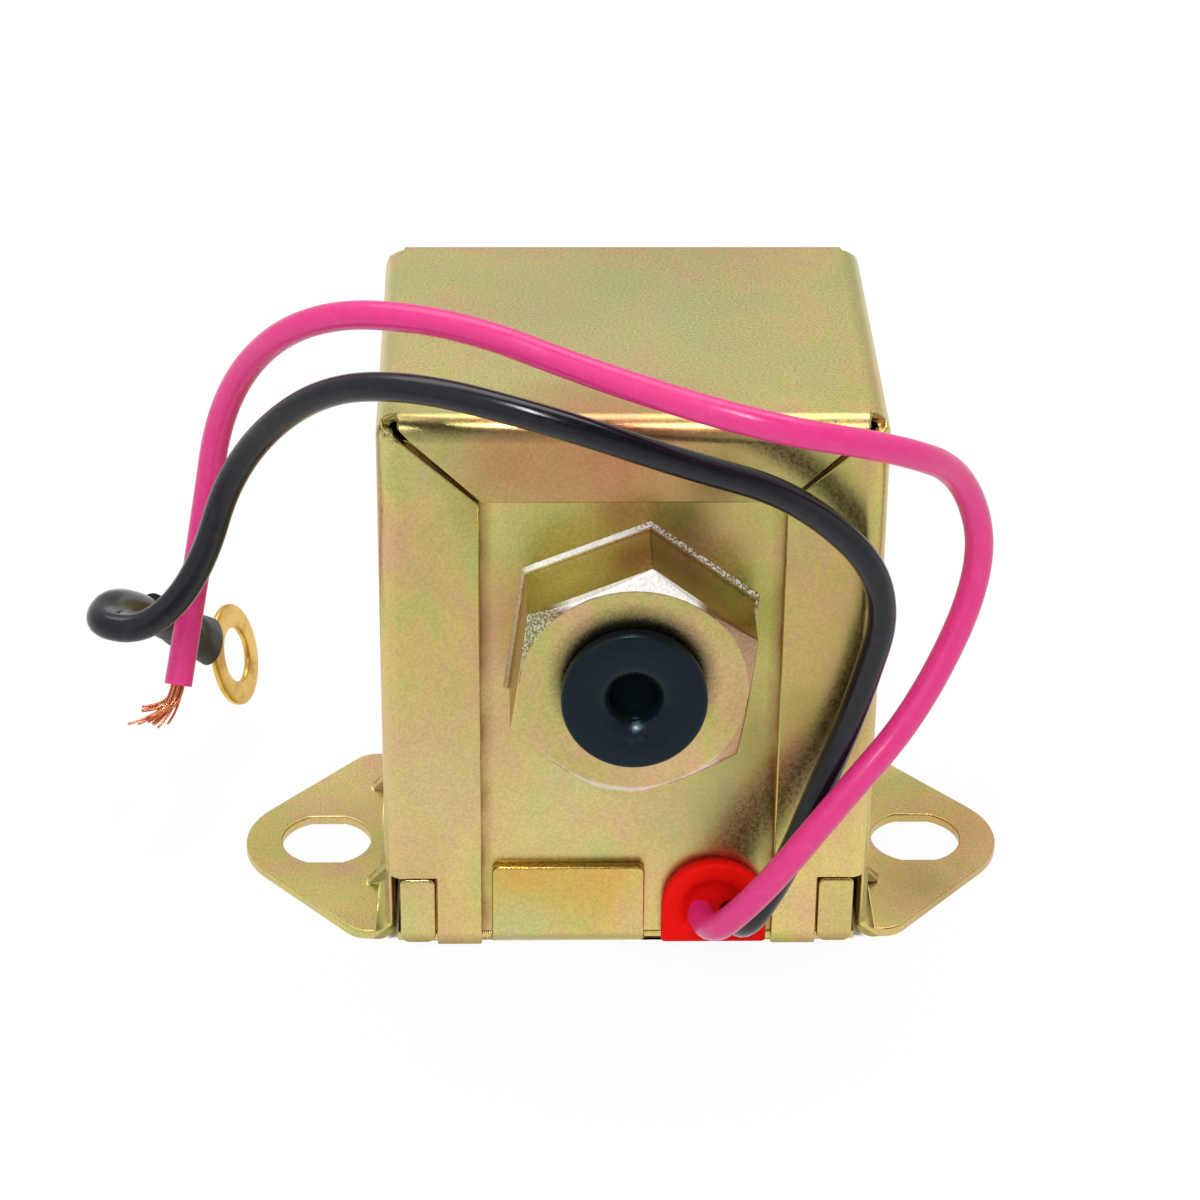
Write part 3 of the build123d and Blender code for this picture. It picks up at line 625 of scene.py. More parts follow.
@dataclass(frozen=True)
class PlugRubber(Moulded):
    """The plug's rubber: a painted pale-blue glint on its lower lip, which is also glossier there, and
    next to no gloss in its hole.
    """

    # Painted glint: a pale blue patch on the dimple's lower lip, where a lamp is mirrored.
    painted_glint: Bloom = Bloom((0.2, -35.2, 36.6), 1.4, (0.24, 0.42, 0.50), 0.75)
    glint_grain: float = 1.0
    gloss_reach: float = 2.1
    axis_height: float = 40.5
    hole_radii: Span = (3.05, 2.75)
    hole_depths: Span = (34.9, 34.4)
    hole_gloss: float = 0.04

    def glinted(self, graph: Graph, tone: Socket) -> Socket:
        """Paints the pale-blue glint round its place on the lower lip."""
        clouds = graph.noise(graph.place(), self.glint_grain)
        return graph.mix(graph.bloom(self.painted_glint, clouds), tone, self.painted_glint.colour)

    def gloss(self, graph: Graph) -> Socket:
        """Gives the shine by the distance from the painted glint and by the depth in the hole.

        Args:
            graph: The material's nodes.

        Returns:
            The specular level.
        """
        clouds = graph.noise(graph.place(), self.glint_grain)
        polish = replace(self.painted_glint, reach=self.gloss_reach, strength=1.0 - self.shine)
        bright = graph.compute("ADD", graph.bloom(polish, clouds), self.shine)
        hole = graph.times(graph.scale(graph.reach(self.axis_height), *self.hole_radii),
                           graph.scale(graph.away("Y"), *self.hole_depths))
        return graph.times(bright, graph.scale(hole, 0.0, 1.0, 1.0, self.hole_gloss))


@dataclass(frozen=True)
class Metal(Finish):
    """Bare metal with tool marks that follow each other along one axis."""

    colour: Colour = GREY
    tarnish: Colour = GREY
    roughness: float = 0.28
    mark_pitch: float = 0.35
    mark_depth: float = 0.006
    mark_axis: str = "Y"
    tarnish_size: float = 3.0
    tarnish_steps: Span = (0.48, 0.72)
    unevenness: Span = (-0.06, 0.12)

    def draw(self, graph: Graph) -> None:
        """Lays tarnish on the colour and tool marks on the surface.

        Args:
            graph: The material's nodes.
        """
        where = graph.place()
        stain_and_edge_reflection = graph.noise(where, self.tarnish_size, detail=4.0, warp=0.5)
        tone = graph.mix(graph.scale(stain_and_edge_reflection, *self.tarnish_steps), self.colour, self.tarnish)
        rough = graph.scale(stain_and_edge_reflection, *WIDE, *(self.roughness + change for change in self.unevenness))
        marks = graph.bands(where, self.mark_pitch, self.mark_axis, warp=1.5)
        normal = graph.bump(marks, self.mark_depth, strength=0.5)
        graph.surface(Base_Color=tone, Roughness=rough, Normal=normal, Metallic=1.0)


@dataclass(frozen=True)
class WoundWire(Finish):
    """Layers of enamelled wire, one turn beside the other along the bore."""

    colour: Colour = (0.55, 0.20, 0.07)
    valley: Colour = (0.14, 0.04, 0.015)
    wire: float = 0.4
    relief: float = 0.1

    def draw(self, graph: Graph) -> None:
        """Shades and raises each turn."""
        turns = graph.bands(graph.place(), self.wire, "Y", warp=0.4)
        graph.surface(Base_Color=graph.mix(turns, self.valley, self.colour), Roughness=0.3,
                      Normal=graph.bump(turns, self.relief, strength=0.8), Metallic=0.6, Coat_Weight=0.4)


@dataclass(frozen=True)
class Laminate(Finish):
    """Glass laminate under solder resist, with a woven ripple and broad copper areas below."""

    colour: Colour = (0.03, 0.16, 0.06)
    over_copper: Colour = (0.06, 0.24, 0.09)
    area_size: float = 5.0
    area_steps: Span = (0.52, 0.56)
    thread: float = 0.5
    ripple: float = 0.02

    def draw(self, graph: Graph) -> None:
        """Lays copper areas under the resist, and the weave as a ripple.

        Args:
            graph: The material's nodes.
        """
        where = graph.place()
        areas = graph.scale(graph.cells(where, self.area_size), *self.area_steps)
        weave = graph.mix(0.5, *(graph.bands(where, self.thread, axis) for axis in "XY"))
        graph.surface(Base_Color=graph.mix(areas, self.colour, self.over_copper), Roughness=0.3,
                      Normal=graph.bump(weave, self.ripple, strength=0.4))


PALE_GREEN: Colour = (0.58, 0.56, 0.26)
OLIVE: Colour = (0.44, 0.42, 0.10)
ORANGE: Colour = (0.70, 0.42, 0.09)
ROSE_BROWN: Colour = (0.52, 0.27, 0.14)
WARM_BROWN: Colour = (0.58, 0.36, 0.15)
DEEP_ROSE: Colour = (0.60, 0.255, 0.125)
UMBER: Colour = (0.40, 0.27, 0.085)
PALE_GOLD: Colour = (0.74, 0.62, 0.29)
SHEET_ZINC = YellowZinc("yellow_zinc_sheet", grain_depth=0.004, roughness=0.33, blooms=(
    Bloom((-4.0, 4.0, 68.4), 38.0, PALE_GREEN, 0.75),
    Bloom((-2.0, -23.9, 65.0), 15.0, DEEP_ROSE, 0.9),
    Bloom((-14.0, -23.9, 63.5), 8.0, DEEP_ROSE, 0.6),
    Bloom((-17.0, -23.9, 58.0), 4.5, OLIVE, 0.6),
    # Painted shadow of the black lead on the top flap.
    Bloom((9.0, -23.9, 61.5), 6.0, (0.26, 0.15, 0.05), 0.75),
    Bloom((-22.0, -23.9, 22.0), 16.0, PALE_GOLD, 0.6),
    Bloom((-38.0, -2.0, 1.2), 13.0, OLIVE, 0.5),
    Bloom((40.0, -2.0, 1.2), 15.0, (0.52, 0.29, 0.11), 0.8),
    Bloom((36.0, -14.0, 1.2), 12.0, UMBER, 0.8),
    Bloom((22.0, -23.9, 46.0), 12.0, ROSE_BROWN, 0.4),
    Bloom((22.0, -23.9, 30.0), 15.0, UMBER, 0.6),
))
PLATE_ZINC = WindowZinc("yellow_zinc_plate", grain_depth=0.005, roughness=0.34, patch_size=12.0, blooms=(
    Bloom((-6.0, -22.7, 56.0), 10.0, (0.58, 0.57, 0.20), 0.7),
    Bloom((-12.5, -22.7, 53.0), 6.0, (0.62, 0.62, 0.22), 0.8),
    Bloom((14.0, -22.7, 55.0), 8.0, (0.60, 0.52, 0.17), 0.6),
    Bloom((14.0, -22.7, 44.0), 7.0, OLIVE, 0.8),
    Bloom((14.0, -22.7, 29.0), 9.0, (0.36, 0.36, 0.10), 0.8),
    # Painted shade beside the hex's upper right edge.
    Bloom((6.0, -22.7, 57.0), 5.0, (0.28, 0.24, 0.06), 0.85),
    Bloom((-2.0, -22.7, 58.0), 3.5, ROSE_BROWN, 0.6),
    Bloom((-15.0, -22.7, 44.0), 9.0, WARM_BROWN, 0.35),
    Bloom((-8.0, -22.7, 20.0), 13.0, PALE_GOLD, 0.7),
    Bloom((9.0, -22.7, 18.0), 12.0, (0.44, 0.44, 0.18), 0.8),
))
BASE_ZINC = YellowZinc(
    "yellow_zinc_base", gold=(0.72, 0.54, 0.175), grain_depth=0.005, patch_size=14.0, low_shade_share=0.8, blooms=(
        Bloom((-12.0, -23.9, 10.0), 6.5, ORANGE, 0.8),
        Bloom((-3.0, -23.9, 9.0), 7.0, ORANGE, 0.8),
        Bloom((-13.0, -23.9, 3.0), 5.0, PALE_GREEN, 0.7),
        Bloom((25.0, -23.9, 4.0), 8.0, (0.58, 0.48, 0.18), 0.8),
        Bloom((-25.0, -23.9, 4.0), 6.0, (0.68, 0.59, 0.26), 0.8),
    ))
FITTING_ZINC = PaintedLightHex(
    "yellow_zinc_fitting", gold=(0.62, 0.49, 0.19), grain_size=0.34, grain_depth=0.016, patch_size=9.0,
    roughness=0.32, blooms=(
        Bloom((-9.0, -33.5, 42.0), 9.0, (0.54, 0.50, 0.16), 0.55),
        Bloom((12.0, -32.5, 38.0), 7.0, WARM_BROWN, 0.5),
        # Painted highlight on the top-left facet and painted shade on the top-right facet.
        Bloom((-6.5, -27.5, 51.5), 5.5, (0.92, 0.80, 0.36), 0.9),
        Bloom((6.5, -27.5, 51.5), 6.0, (0.30, 0.21, 0.09), 0.85),
        Bloom((0.0, -28.0, 54.5), 3.5, ROSE_BROWN, 0.7),
    ))
PINK_INSULATION = Insulation("pink_lead_plastic", colour=(0.66, 0.030, 0.20), scuffed=(0.70, 0.045, 0.23),
                             roughness=0.26, shine=0.42)
BLACK_INSULATION = Insulation("black_lead_plastic", colour=(0.004, 0.005, 0.008),
                              scuffed=(0.010, 0.012, 0.017), roughness=0.19, shine=0.44)
RED_RUBBER = Moulded("grommet_rubber", colour=(0.84, 0.006, 0.004), dust=(0.88, 0.02, 0.012), shine=0.06)
BLACK_PLUG = PlugRubber("black_plug", colour=(0.003, 0.007, 0.009), dust=(0.010, 0.016, 0.020),
                        roughness=0.29, shine=0.26, glint=(0.62, 0.86, 1.0))
SHRINK_FILM = Moulded("heat_shrink_film", colour=(0.010, 0.012, 0.012), dust=(0.05, 0.055, 0.045),
                      roughness=0.5, grain_size=0.4, grain_depth=0.03)
BLACK_RUBBER = Moulded("seal_rubber", colour=(0.012, 0.012, 0.012), dust=(0.04, 0.04, 0.04), roughness=0.6)
NYLON = Moulded("natural_nylon", colour=(0.66, 0.62, 0.50), dust=(0.74, 0.71, 0.62), roughness=0.42)
EPOXY = Moulded("black_epoxy", colour=(0.02, 0.02, 0.022), dust=(0.05, 0.05, 0.05), roughness=0.55)
COPPER = Metal("bright_copper", colour=(0.86, 0.33, 0.16), tarnish=(0.62, 0.16, 0.07), roughness=0.26)
RING_BRASS = Metal("stamped_brass", colour=(0.80, 0.52, 0.13), tarnish=(0.62, 0.33, 0.07), roughness=0.3,
                   mark_axis="X", mark_pitch=0.8)
TUBE_BRASS = Metal("turned_brass", colour=(0.72, 0.55, 0.24), tarnish=(0.55, 0.38, 0.15))
STEEL = Metal("turned_steel", colour=(0.52, 0.52, 0.52), tarnish=(0.34, 0.34, 0.35))
SPRING_STEEL = Metal("spring_wire", colour=(0.42, 0.42, 0.44), tarnish=(0.25, 0.25, 0.27), mark_pitch=1.4)
WINDING = WoundWire("enamelled_winding")
BOARD = Laminate("green_board")


def put(name: str, data: bpy.types.ID) -> Piece:
    """Puts new data into the scene as an object.

    Args:
        name: The object's name.
        data: Its mesh, curve, light or camera.

    Returns:
        The new object.
    """
    thing = bpy.data.objects.new(name, data)
    bpy.context.scene.collection.objects.link(thing)
    return thing


def declare(piece: Piece, finish: Finish, node: str, slot: str, body: Body = Body.PUMP) -> Piece:
    """Args:
        piece: The new piece.
        finish: Its finish.
        node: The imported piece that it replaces.
        slot: Its material slot.
        body: The body that it rides on.

    Returns:
        The same piece.
    """
    finish.dress(piece)
    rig.ride(piece, body.value)
    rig.replaces(piece, node)
    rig.slot(piece, slot)
    LOG.info("%s: %s, on %s", piece.name, finish.name, body.value)
    return piece


class Surface:
    """Meshes worked out from whole arrays of points."""

    @staticmethod
    def angles(count: int) -> np.ndarray:
        """Gives evenly spaced angles once round a circle."""
        return np.linspace(0.0, TURN, count, endpoint=False)

    @staticmethod
    def stack(*parts: np.ndarray) -> np.ndarray:
        """Joins coordinates of any matching shapes into points."""
        return np.stack(np.broadcast_arrays(*parts), axis=-1)

    @staticmethod
    def faces(rows: int, columns: int, loop_rows: bool = False) -> np.ndarray:
        """Joins a grid of points by four-sided faces, with its last column joined to its first.

        Args:
            rows: The number of points along the first parameter.
            columns: The number of points along the second.
            loop_rows: Whether the last row joins the first.

        Returns:
            The faces, as an array of four point numbers each.
        """
        row = np.arange(rows if loop_rows else rows - 1)[:, None]
        column = np.arange(columns)[None, :]
        next_row, next_column = (row + 1) % rows, (column + 1) % columns
        corners = [row * columns + column, row * columns + next_column,
                   next_row * columns + next_column, next_row * columns + column]
        return np.stack(corners, axis=-1).reshape(-1, 4)

    @staticmethod
    def build(name: str, points: np.ndarray, faces: np.ndarray | None = None) -> Piece:
        """Makes a smooth piece, with its doubles merged and its faces turned outwards.

        Args:
            name: The piece's name.
            points: The points, of shape (..., 3), in metres.
            faces: The faces, of shape (number, 4); without them the points are one grid.

        Returns:
            The new object.
        """
        if faces is None:
            faces = Surface.faces(*points.shape[:2])
        mesh = bpy.data.meshes.new(name)
        mesh.from_pydata(points.reshape(-1, 3).tolist(), [], faces.tolist())
        work = bmesh.new()
        work.from_mesh(mesh)
        bmesh.ops.remove_doubles(work, verts=work.verts, dist=1e-7)
        bmesh.ops.dissolve_degenerate(work, edges=work.edges, dist=1e-8)
        bmesh.ops.recalc_face_normals(work, faces=work.faces)
        work.to_mesh(mesh)
        work.free()
        mesh.polygons.foreach_set("use_smooth", np.ones(len(mesh.polygons), dtype=bool))
        return put(name, mesh)

    @staticmethod
    def capped(rings: np.ndarray) -> np.ndarray:
        """Closes a tube, of shape (..., stations, around, 3), with a ring shrunk to its centre at each end."""
        centres = rings.mean(axis=-2, keepdims=True) + np.zeros_like(rings)
        return np.concatenate([centres[..., :1, :, :], rings, centres[..., -1:, :, :]], axis=-3)

    @staticmethod
    def arc(centre: Span, radius: float, start: float, end: float, steps: int = 10) -> np.ndarray:
        """Gives points on an arc in a plane, from the start angle to the end angle in degrees."""
        angle = np.radians(np.linspace(start, end, steps + 1))
        return np.array(centre) + radius * np.stack([np.cos(angle), np.sin(angle)], axis=-1)


@dataclass
class Lead:
    """One insulated lead: a smooth curve of its real length along the route on which it lies."""

    name: str
    node: str
    slot: str
    finish: Finish
    route: list[Point]
    length: float
    far_end: str
    diameter: float = 0.0032

    def curve(self) -> Piece:
        """Makes the lead as a round curve whose control points are its route.

        Returns:
            The curve object.
        """
        data = bpy.data.curves.new(self.name, "CURVE")
        data.dimensions = "3D"
        spline = data.splines.new("NURBS")
        spline.points.add(len(self.route) - 1)
        spline.points.foreach_set("co", np.insert(self.route, 3, 1.0, axis=1).ravel())
        spline.order_u = 3
        spline.use_endpoint_u = True
        spline.resolution_u = 16
        data.bevel_depth = self.diameter / 2
        data.bevel_resolution = 7
        data.use_fill_caps = True
        return put(self.name, data)

    def make(self, on_it: list[Piece]) -> Piece:
        """Args:
            on_it: The pieces that the lead carries.

        Returns:
            The lead.
        """
        piece = declare(self.curve(), self.finish, self.node, self.slot)
        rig.cord(piece, exit=self.route[0], length=self.length, diameter=self.diameter,
                far_end=self.far_end, stiffness="medium", lay="loose", with_pieces=on_it)
        return piece


@dataclass
class Strands:
    """Copper strands that leave the pink lead's cut end, splay and sweep to one side."""

    root: Point
    axis: Point
    sweep: Point = (-0.80, -0.10, 0.12)
    count: int = 19
    strand_radius: float = 0.15 * MM
    bundle_radius: float = 0.78 * MM
    core: float = 0.3
    buried: float = 1.0 * MM
    lengths: Span = (4.2 * MM, 6.4 * MM)
    splay: Span = (0.1, 1.5)
    swing: Span = (0.35, 1.15)
    stray: float = 0.14
    droop: float = 0.25
    sideways: float = 0.72
    stations: int = 26
    around: int = 8
    seed: int = 7

    def paths(self) -> np.ndarray:
        """Works out each strand's line: root, plus its offset that widens with the square of the way
        along, plus the axis, plus a sideways sweep that grows with the square of the way along.

        Returns:
            The points, of shape (strands, stations, 3).
        """
        draw = np.random.default_rng(self.seed)
        index = np.arange(self.count)
        golden_angle = math.pi * (3.0 - math.sqrt(5.0))
        radius = self.bundle_radius * np.sqrt((index + self.core) / self.count)
        axis = np.array(Vector(self.axis).normalized())
        side = np.array(Vector(self.axis).orthogonal().normalized())
        across = np.cross(axis, side)
        angle = index[:, None] * golden_angle
        offset = radius[:, None] * (np.cos(angle) * side + np.sin(angle) * across)
        length = draw.uniform(*self.lengths, self.count)[:, None, None]
        splay = draw.uniform(*self.splay, self.count)[:, None, None]
        swing = draw.uniform(*self.swing, self.count)[:, None]
        stray = draw.normal(0.0, self.stray, (self.count, 3))
        way = np.linspace(-self.buried / self.lengths[1], 1.0, self.stations)[None, :, None]
        bent = np.clip(way, 0.0, None) ** 2
        swept = (swing * np.array(self.sweep) + stray)[:, None, :]
        return (np.array(self.root) + offset[:, None, :] * (1.0 + splay * bent)
                + axis * (way - self.droop * bent) * length + swept * bent * length * self.sideways)

    def make(self) -> Piece:
        """Carries a small circle along every strand's line.

        Returns:
            The strands as one piece.
        """
        lines = self.paths()
        tangent = np.gradient(lines, axis=1)
        side = np.cross(tangent, np.array([0.0, 1.0, 0.0]))
        across = np.cross(tangent, side)
        side, across = (way / np.linalg.norm(way, axis=-1, keepdims=True) for way in (side, across))
        angle = Surface.angles(self.around)[:, None]
        circle = np.cos(angle) * side[:, :, None, :] + np.sin(angle) * across[:, :, None, :]
        rings = Surface.capped(lines[:, :, None, :] + self.strand_radius * circle)
        stations = rings.shape[1]
        starts = np.arange(self.count)[:, None, None] * stations * self.around
        faces = starts + Surface.faces(stations, self.around)[None]
        return declare(Surface.build("bare_strands", rings, faces.reshape(-1, 4)), COPPER,
                       "copper_strands", "copper_wire")


@dataclass
class Terminal:
    """The ring terminal and the sleeve shrunk over its barrel, in line with the black lead's end."""

    start: Point
    axis: Point
    tilt: Point = (0.9291, -0.2485, 0.2738)
    sleeve_length: float = 15.0 * MM
    sleeve_radii: Span = (2.25 * MM, 2.7 * MM)
    sleeve_steps: int = 72
    swell: float = 1.5
    creases: Span = (0.09 * MM, 0.05 * MM)
    crease_counts: tuple[int, int] = (3, 7)
    crease_twists: Span = (5.0, -9.0)
    wrinkle: float = 0.05 * MM
    wrinkle_turns: float = 27.0
    smooth_ends: Span = (0.12, 0.76)
    flattening: float = 0.24
    flat_start: float = 0.35
    lip: Point = (0.35, 0.8, 1.0)
    lip_depths: Span = (0.25 * MM, 0.3 * MM)
    start_narrowing: float = 0.16
    end_narrowing: Span = (0.17, 0.2)
    end_sizes: Span = (1.1, 0.76)
    reach: float = 7.3 * MM
    ring_outer: float = 6.2 * MM
    ring_inner: float = 3.35 * MM
    sheet: float = 0.8 * MM
    ring_steps: tuple[int, int] = (96, 28)
    neck_steps: int = 30
    neck_width: float = 4.4 * MM
    neck_start: float = 0.8
    neck_height: float = 0.96
    waist: float = 0.16
    barrel_radius: float = 1.45 * MM
    buried: float = 6.5 * MM
    frame: np.ndarray = field(init=False)

    def __post_init__(self) -> None:
        """Works out the terminal's own axes: along it, across it and square to its sheet."""
        along = Vector(self.axis).normalized()
        across = Vector(self.tilt).cross(along).normalized()
        self.frame = np.array([along, across, along.cross(across)])

    def world(self, local: np.ndarray) -> np.ndarray:
        """Turns points along, across and above the sleeve's start into the object's frame."""
        return np.array(self.start) + local @ self.frame

    @staticmethod
    def oval(along: np.ndarray, across: np.ndarray, above: np.ndarray, angle: np.ndarray) -> np.ndarray:
        """Stacks oval rings into points, by their places along the axis and their two half sizes."""
        return Surface.stack(along, across * np.cos(angle), above * np.sin(angle))

    def sleeve(self) -> Piece:
        """Makes the sleeve: a tube whose radius grows along it, flattened over the barrel, with
        shallow lengthwise creases and cross wrinkles, turned in at both ends.

        Returns:
            The sleeve.
        """
        way = np.linspace(0.0, 1.0, self.sleeve_steps)[:, None]
        angle = Surface.angles(self.sleeve_steps)[None, :]
        start, end = self.sleeve_radii
        coarse, fine = (depth * np.sin(count * angle + twist * way) for depth, count, twist
                        in zip(self.creases, self.crease_counts, self.crease_twists))
        wrinkles = self.wrinkle * np.sin(self.wrinkle_turns * way + 2.0 * np.sin(2 * angle))
        ease = np.sin(math.pi * (self.smooth_ends[0] + self.smooth_ends[1] * way))
        relief = coarse * way + fine + wrinkles * np.sin(math.pi * way)
        radius = start + (end - start) * way**self.swell + relief * ease
        flat = self.flattening * np.clip((way - self.flat_start) / (1.0 - self.flat_start), 0.0, 1.0) ** 2
        outside = self.oval(way * self.sleeve_length, radius * (1.0 + 0.4 * flat), radius * (1.0 - flat), angle)
        lip = np.array(self.lip)[:, None]
        deeper = lip - lip[0]
        wide, high = (radius[-1:] * size * (1 - less * lip)
                      for size, less in zip(self.end_sizes, self.end_narrowing))
        end_in = self.oval(self.sleeve_length - self.lip_depths[1] * deeper, wide, high, angle)
        drawn_in = radius[:1] * (1 - self.start_narrowing * lip)
        start_in = self.oval(self.lip_depths[0] * deeper, drawn_in, drawn_in, angle)
        rings = Surface.capped(self.world(np.concatenate([start_in[::-1], outside, end_in])))
        return declare(Surface.build("shrunk_sleeve", rings), SHRINK_FILM, "terminal_sleeve", "heat_shrink")

    def ring(self) -> Piece:
        """Makes the stamped ring and its neck. The ring is a rounded rectangle carried round a circle,
        and the neck a rounded section that narrows from the ring and rises into the round barrel.

        Returns:
            The terminal.
        """
        centre = self.sleeve_length + self.reach
        middle, half = (self.ring_outer + self.ring_inner) / 2, (self.ring_outer - self.ring_inner) / 2
        around = Surface.angles(self.ring_steps[0])[:, None]
        wide, high = self.squircle(Surface.angles(self.ring_steps[1])[None, :])
        radius = middle + half * wide
        ring = Surface.stack(centre + radius * np.cos(around), radius * np.sin(around), self.sheet / 2 * high)
        way = np.linspace(0.0, 1.0, self.neck_steps)[:, None]
        ease = way * way * (3.0 - 2.0 * way)
        first, last = centre - self.ring_inner - self.neck_start * half, self.sleeve_length - self.buried
        along = first * (1 - way) + last * way
        waist = 1.0 - self.waist * np.sin(math.pi * np.clip(way / 0.5, 0.0, 1.0))
        width = (self.neck_width / 2 * (1 - ease) + self.barrel_radius * ease) * waist
        height = self.neck_height * (self.sheet / 2 * (1 - ease) + self.barrel_radius * ease)
        neck = Surface.capped(Surface.stack(along, width * wide, height * high))
        ring_faces = Surface.faces(*ring.shape[:2], loop_rows=True)
        neck_faces = Surface.faces(*neck.shape[:2]) + ring.shape[0] * ring.shape[1]
        points = self.world(np.concatenate([ring.reshape(-1, 3), neck.reshape(-1, 3)]))
        return declare(Surface.build("stamped_ring", points, np.concatenate([ring_faces, neck_faces])),
                       RING_BRASS, "ring_terminal", "terminal_brass")

    @staticmethod
    def squircle(angle: np.ndarray, power: float = 0.42) -> tuple[np.ndarray, np.ndarray]:
        """Gives a rounded square of half size 1: a cosine and a sine whose sizes are raised to a power."""
        first, second = np.cos(angle), np.sin(angle)
        return np.sign(first) * np.abs(first) ** power, np.sign(second) * np.abs(second) ** power


@dataclass
class PortCap:
    """A soft plug in a port: a round flange with a soft rim and a dimple, on a short stem."""

    port: Port
    tilt: float = 6.0
    slip: float = 0.05 * MM
    axis_height: float = 40.5 * MM
    seat: float = 33.5 * MM
    flange_radius: float = 8.0 * MM
    flange: float = 2.0 * MM
    rim_radius: float = 0.5 * MM
    back_radius: float = 0.3 * MM
    dimple_radius: float = 2.7 * MM
    dimple_depth: float = 4.2 * MM
    mouth_radius: float = 3.8 * MM
    lip_radius: float = 2.0 * MM
    lip_turn: float = 45.0
    floor_radius: float = 1.1 * MM
    floor_flat: float = 0.3
    stem_radius: float = 5.0 * MM
    stem: float = 2.6 * MM
    crown: float = 0.12 * MM
    face_steps: int = 12
    around: int = 96

    def profile(self) -> np.ndarray:
        """Gives the plug's half section as distance along the bore from the hex face and radius,
        from the dimple's floor over the face and rim to the stem's end.

        Returns:
            The points, of shape (number, 2).
        """
        top, back, floor = self.flange, self.back_radius, self.flange - self.dimple_depth
        mouth = self.mouth_radius + self.lip_radius * math.tan(math.radians(self.lip_turn / 2))
        rim = self.flange_radius - self.rim_radius
        face = np.linspace(mouth, rim, self.face_steps)[1:-1]
        bulge = self.crown * np.sin(math.pi * (face - mouth) / (rim - mouth))
        return np.concatenate([
            [(floor, 0.0), (floor, self.floor_flat * self.dimple_radius)],
            Surface.arc((floor + self.floor_radius, self.dimple_radius - self.floor_radius),
                        self.floor_radius, 180, 90),
            [(top - (self.mouth_radius - self.dimple_radius), self.dimple_radius)],
            Surface.arc((top - self.lip_radius, mouth), self.lip_radius, -self.lip_turn, 0),
            np.stack([top + bulge, face], axis=-1),
            Surface.arc((top - self.rim_radius, rim), self.rim_radius, 0, 90),
            Surface.arc((back, self.flange_radius - back), back, 90, 180, 5),
            [(0.0, self.stem_radius + back), (0.0, self.stem_radius)],
            Surface.arc((back - self.stem, self.stem_radius - back), back, 90, 180, 5),
            [(-self.stem, 0.0)],
        ])

    def make(self) -> Piece:
        """Turns the half section round the bore, then tips it outwards about its top edge.

        Returns:
            The plug.
        """
        out, radius = self.profile().T[:, :, None]
        angle = Surface.angles(self.around)[None, :]
        below = self.flange_radius - radius * np.cos(angle)
        tip = math.radians(self.tilt)
        points = Surface.stack(
            radius * np.sin(angle),
            self.port.value * (self.seat + self.slip + out * math.cos(tip) + below * math.sin(tip)),
            self.axis_height + self.flange_radius + out * math.sin(tip) - below * math.cos(tip),
        )
        end = self.port.name.lower()
        body = Body(f"{end}_port_cap")
        return declare(Surface.build(f"{end}_plug", points), BLACK_PLUG, body.value, "black_cap", body)


@dataclass
class Grommet:
    """The rubber grommet: a D-shaped flange with a soft rim round a dished face, a neck through the
    end plate and a second flange behind it. The dish is a list of insets and depths in millimetres."""

    centre: float = 10.1 * MM
    radius: float = 6.1 * MM
    bottom: float = 0.8 * MM
    top: float = 11.8 * MM
    front: float = 24.6 * MM
    plate: Span = (22.7 * MM, 21.5 * MM)
    back: float = 19.8 * MM
    back_inset: float = 4.2 * MM
    neck_inset: float = 1.3 * MM
    soft: float = 0.35 * MM
    corner: float = 0.3 * MM
    corner_limit: float = 0.6
    steps: tuple[int, int] = (40, 8)
    dish: tuple[Span, ...] = (
        (0.0, 0.9), (0.05, 0.45), (0.22, 0.13), (0.6, 0.0), (1.4, 0.0), (1.9, 0.06), (2.3, 0.24),
        (2.7, 0.56), (3.05, 0.92), (3.4, 1.22), (3.8, 1.4), (4.3, 1.45), (4.8, 1.45),
    )

    def outline(self, inset: np.ndarray) -> np.ndarray:
        """Gives the D shape drawn in by an inset: an arc over the top, straight sides and a flat
        bottom with round corners.

        Args:
            inset: The insets, of shape (rows, 1).

        Returns:
            The points across and up, of shape (rows, around, 2).
        """
        over, short = self.steps
        arc = np.linspace(0.0, math.pi, over)[None, :]
        turn = np.linspace(0.0, math.pi / 2, short)[None, :]
        side = np.linspace(0.0, 1.0, short)[None, 1:-1]
        half = self.radius - inset
        high, low = self.top - self.radius, self.bottom + inset
        corner = np.minimum(self.corner, self.corner_limit * half)
        base = np.minimum(low + corner, high)
        across = [half * np.cos(arc), -half + 0 * side, -half + corner * (1 - np.cos(turn)),
                  (half - corner) * (2 * side - 1), half - corner * (1 - np.sin(turn)), half + 0 * side]
        up = [high + half * np.sin(arc), high + (base - high) * side, base - corner * np.sin(turn),
              base - corner + 0 * side, base - corner * np.cos(turn), base + (high - base) * side]
        return np.stack([self.centre + np.concatenate(across, axis=1), np.concatenate(up, axis=1)], axis=-1)

    def make(self) -> Piece:
        """Carries the outline from the rear flange through the plate to the dished front.

        Returns:
            The grommet.
        """
        near, far = self.plate
        neck, soft, back = self.neck_inset, self.soft, self.back
        rows = [(self.back_inset, back), (soft, back), (0.0, back + soft), (0.0, far - soft),
                (soft / 2, far), (neck, far), (neck, near), (soft / 2, near)]
        rows += [(inset * MM, self.front - depth * MM) for inset, depth in self.dish]
        table = np.array(rows)
        shape = self.outline(table[:, :1])
        rings = Surface.capped(Surface.stack(shape[..., 0], -table[:, 1:], shape[..., 1]))
        return declare(Surface.build("soft_grommet", rings), RED_RUBBER, "wire_grommet", "red_rubber")


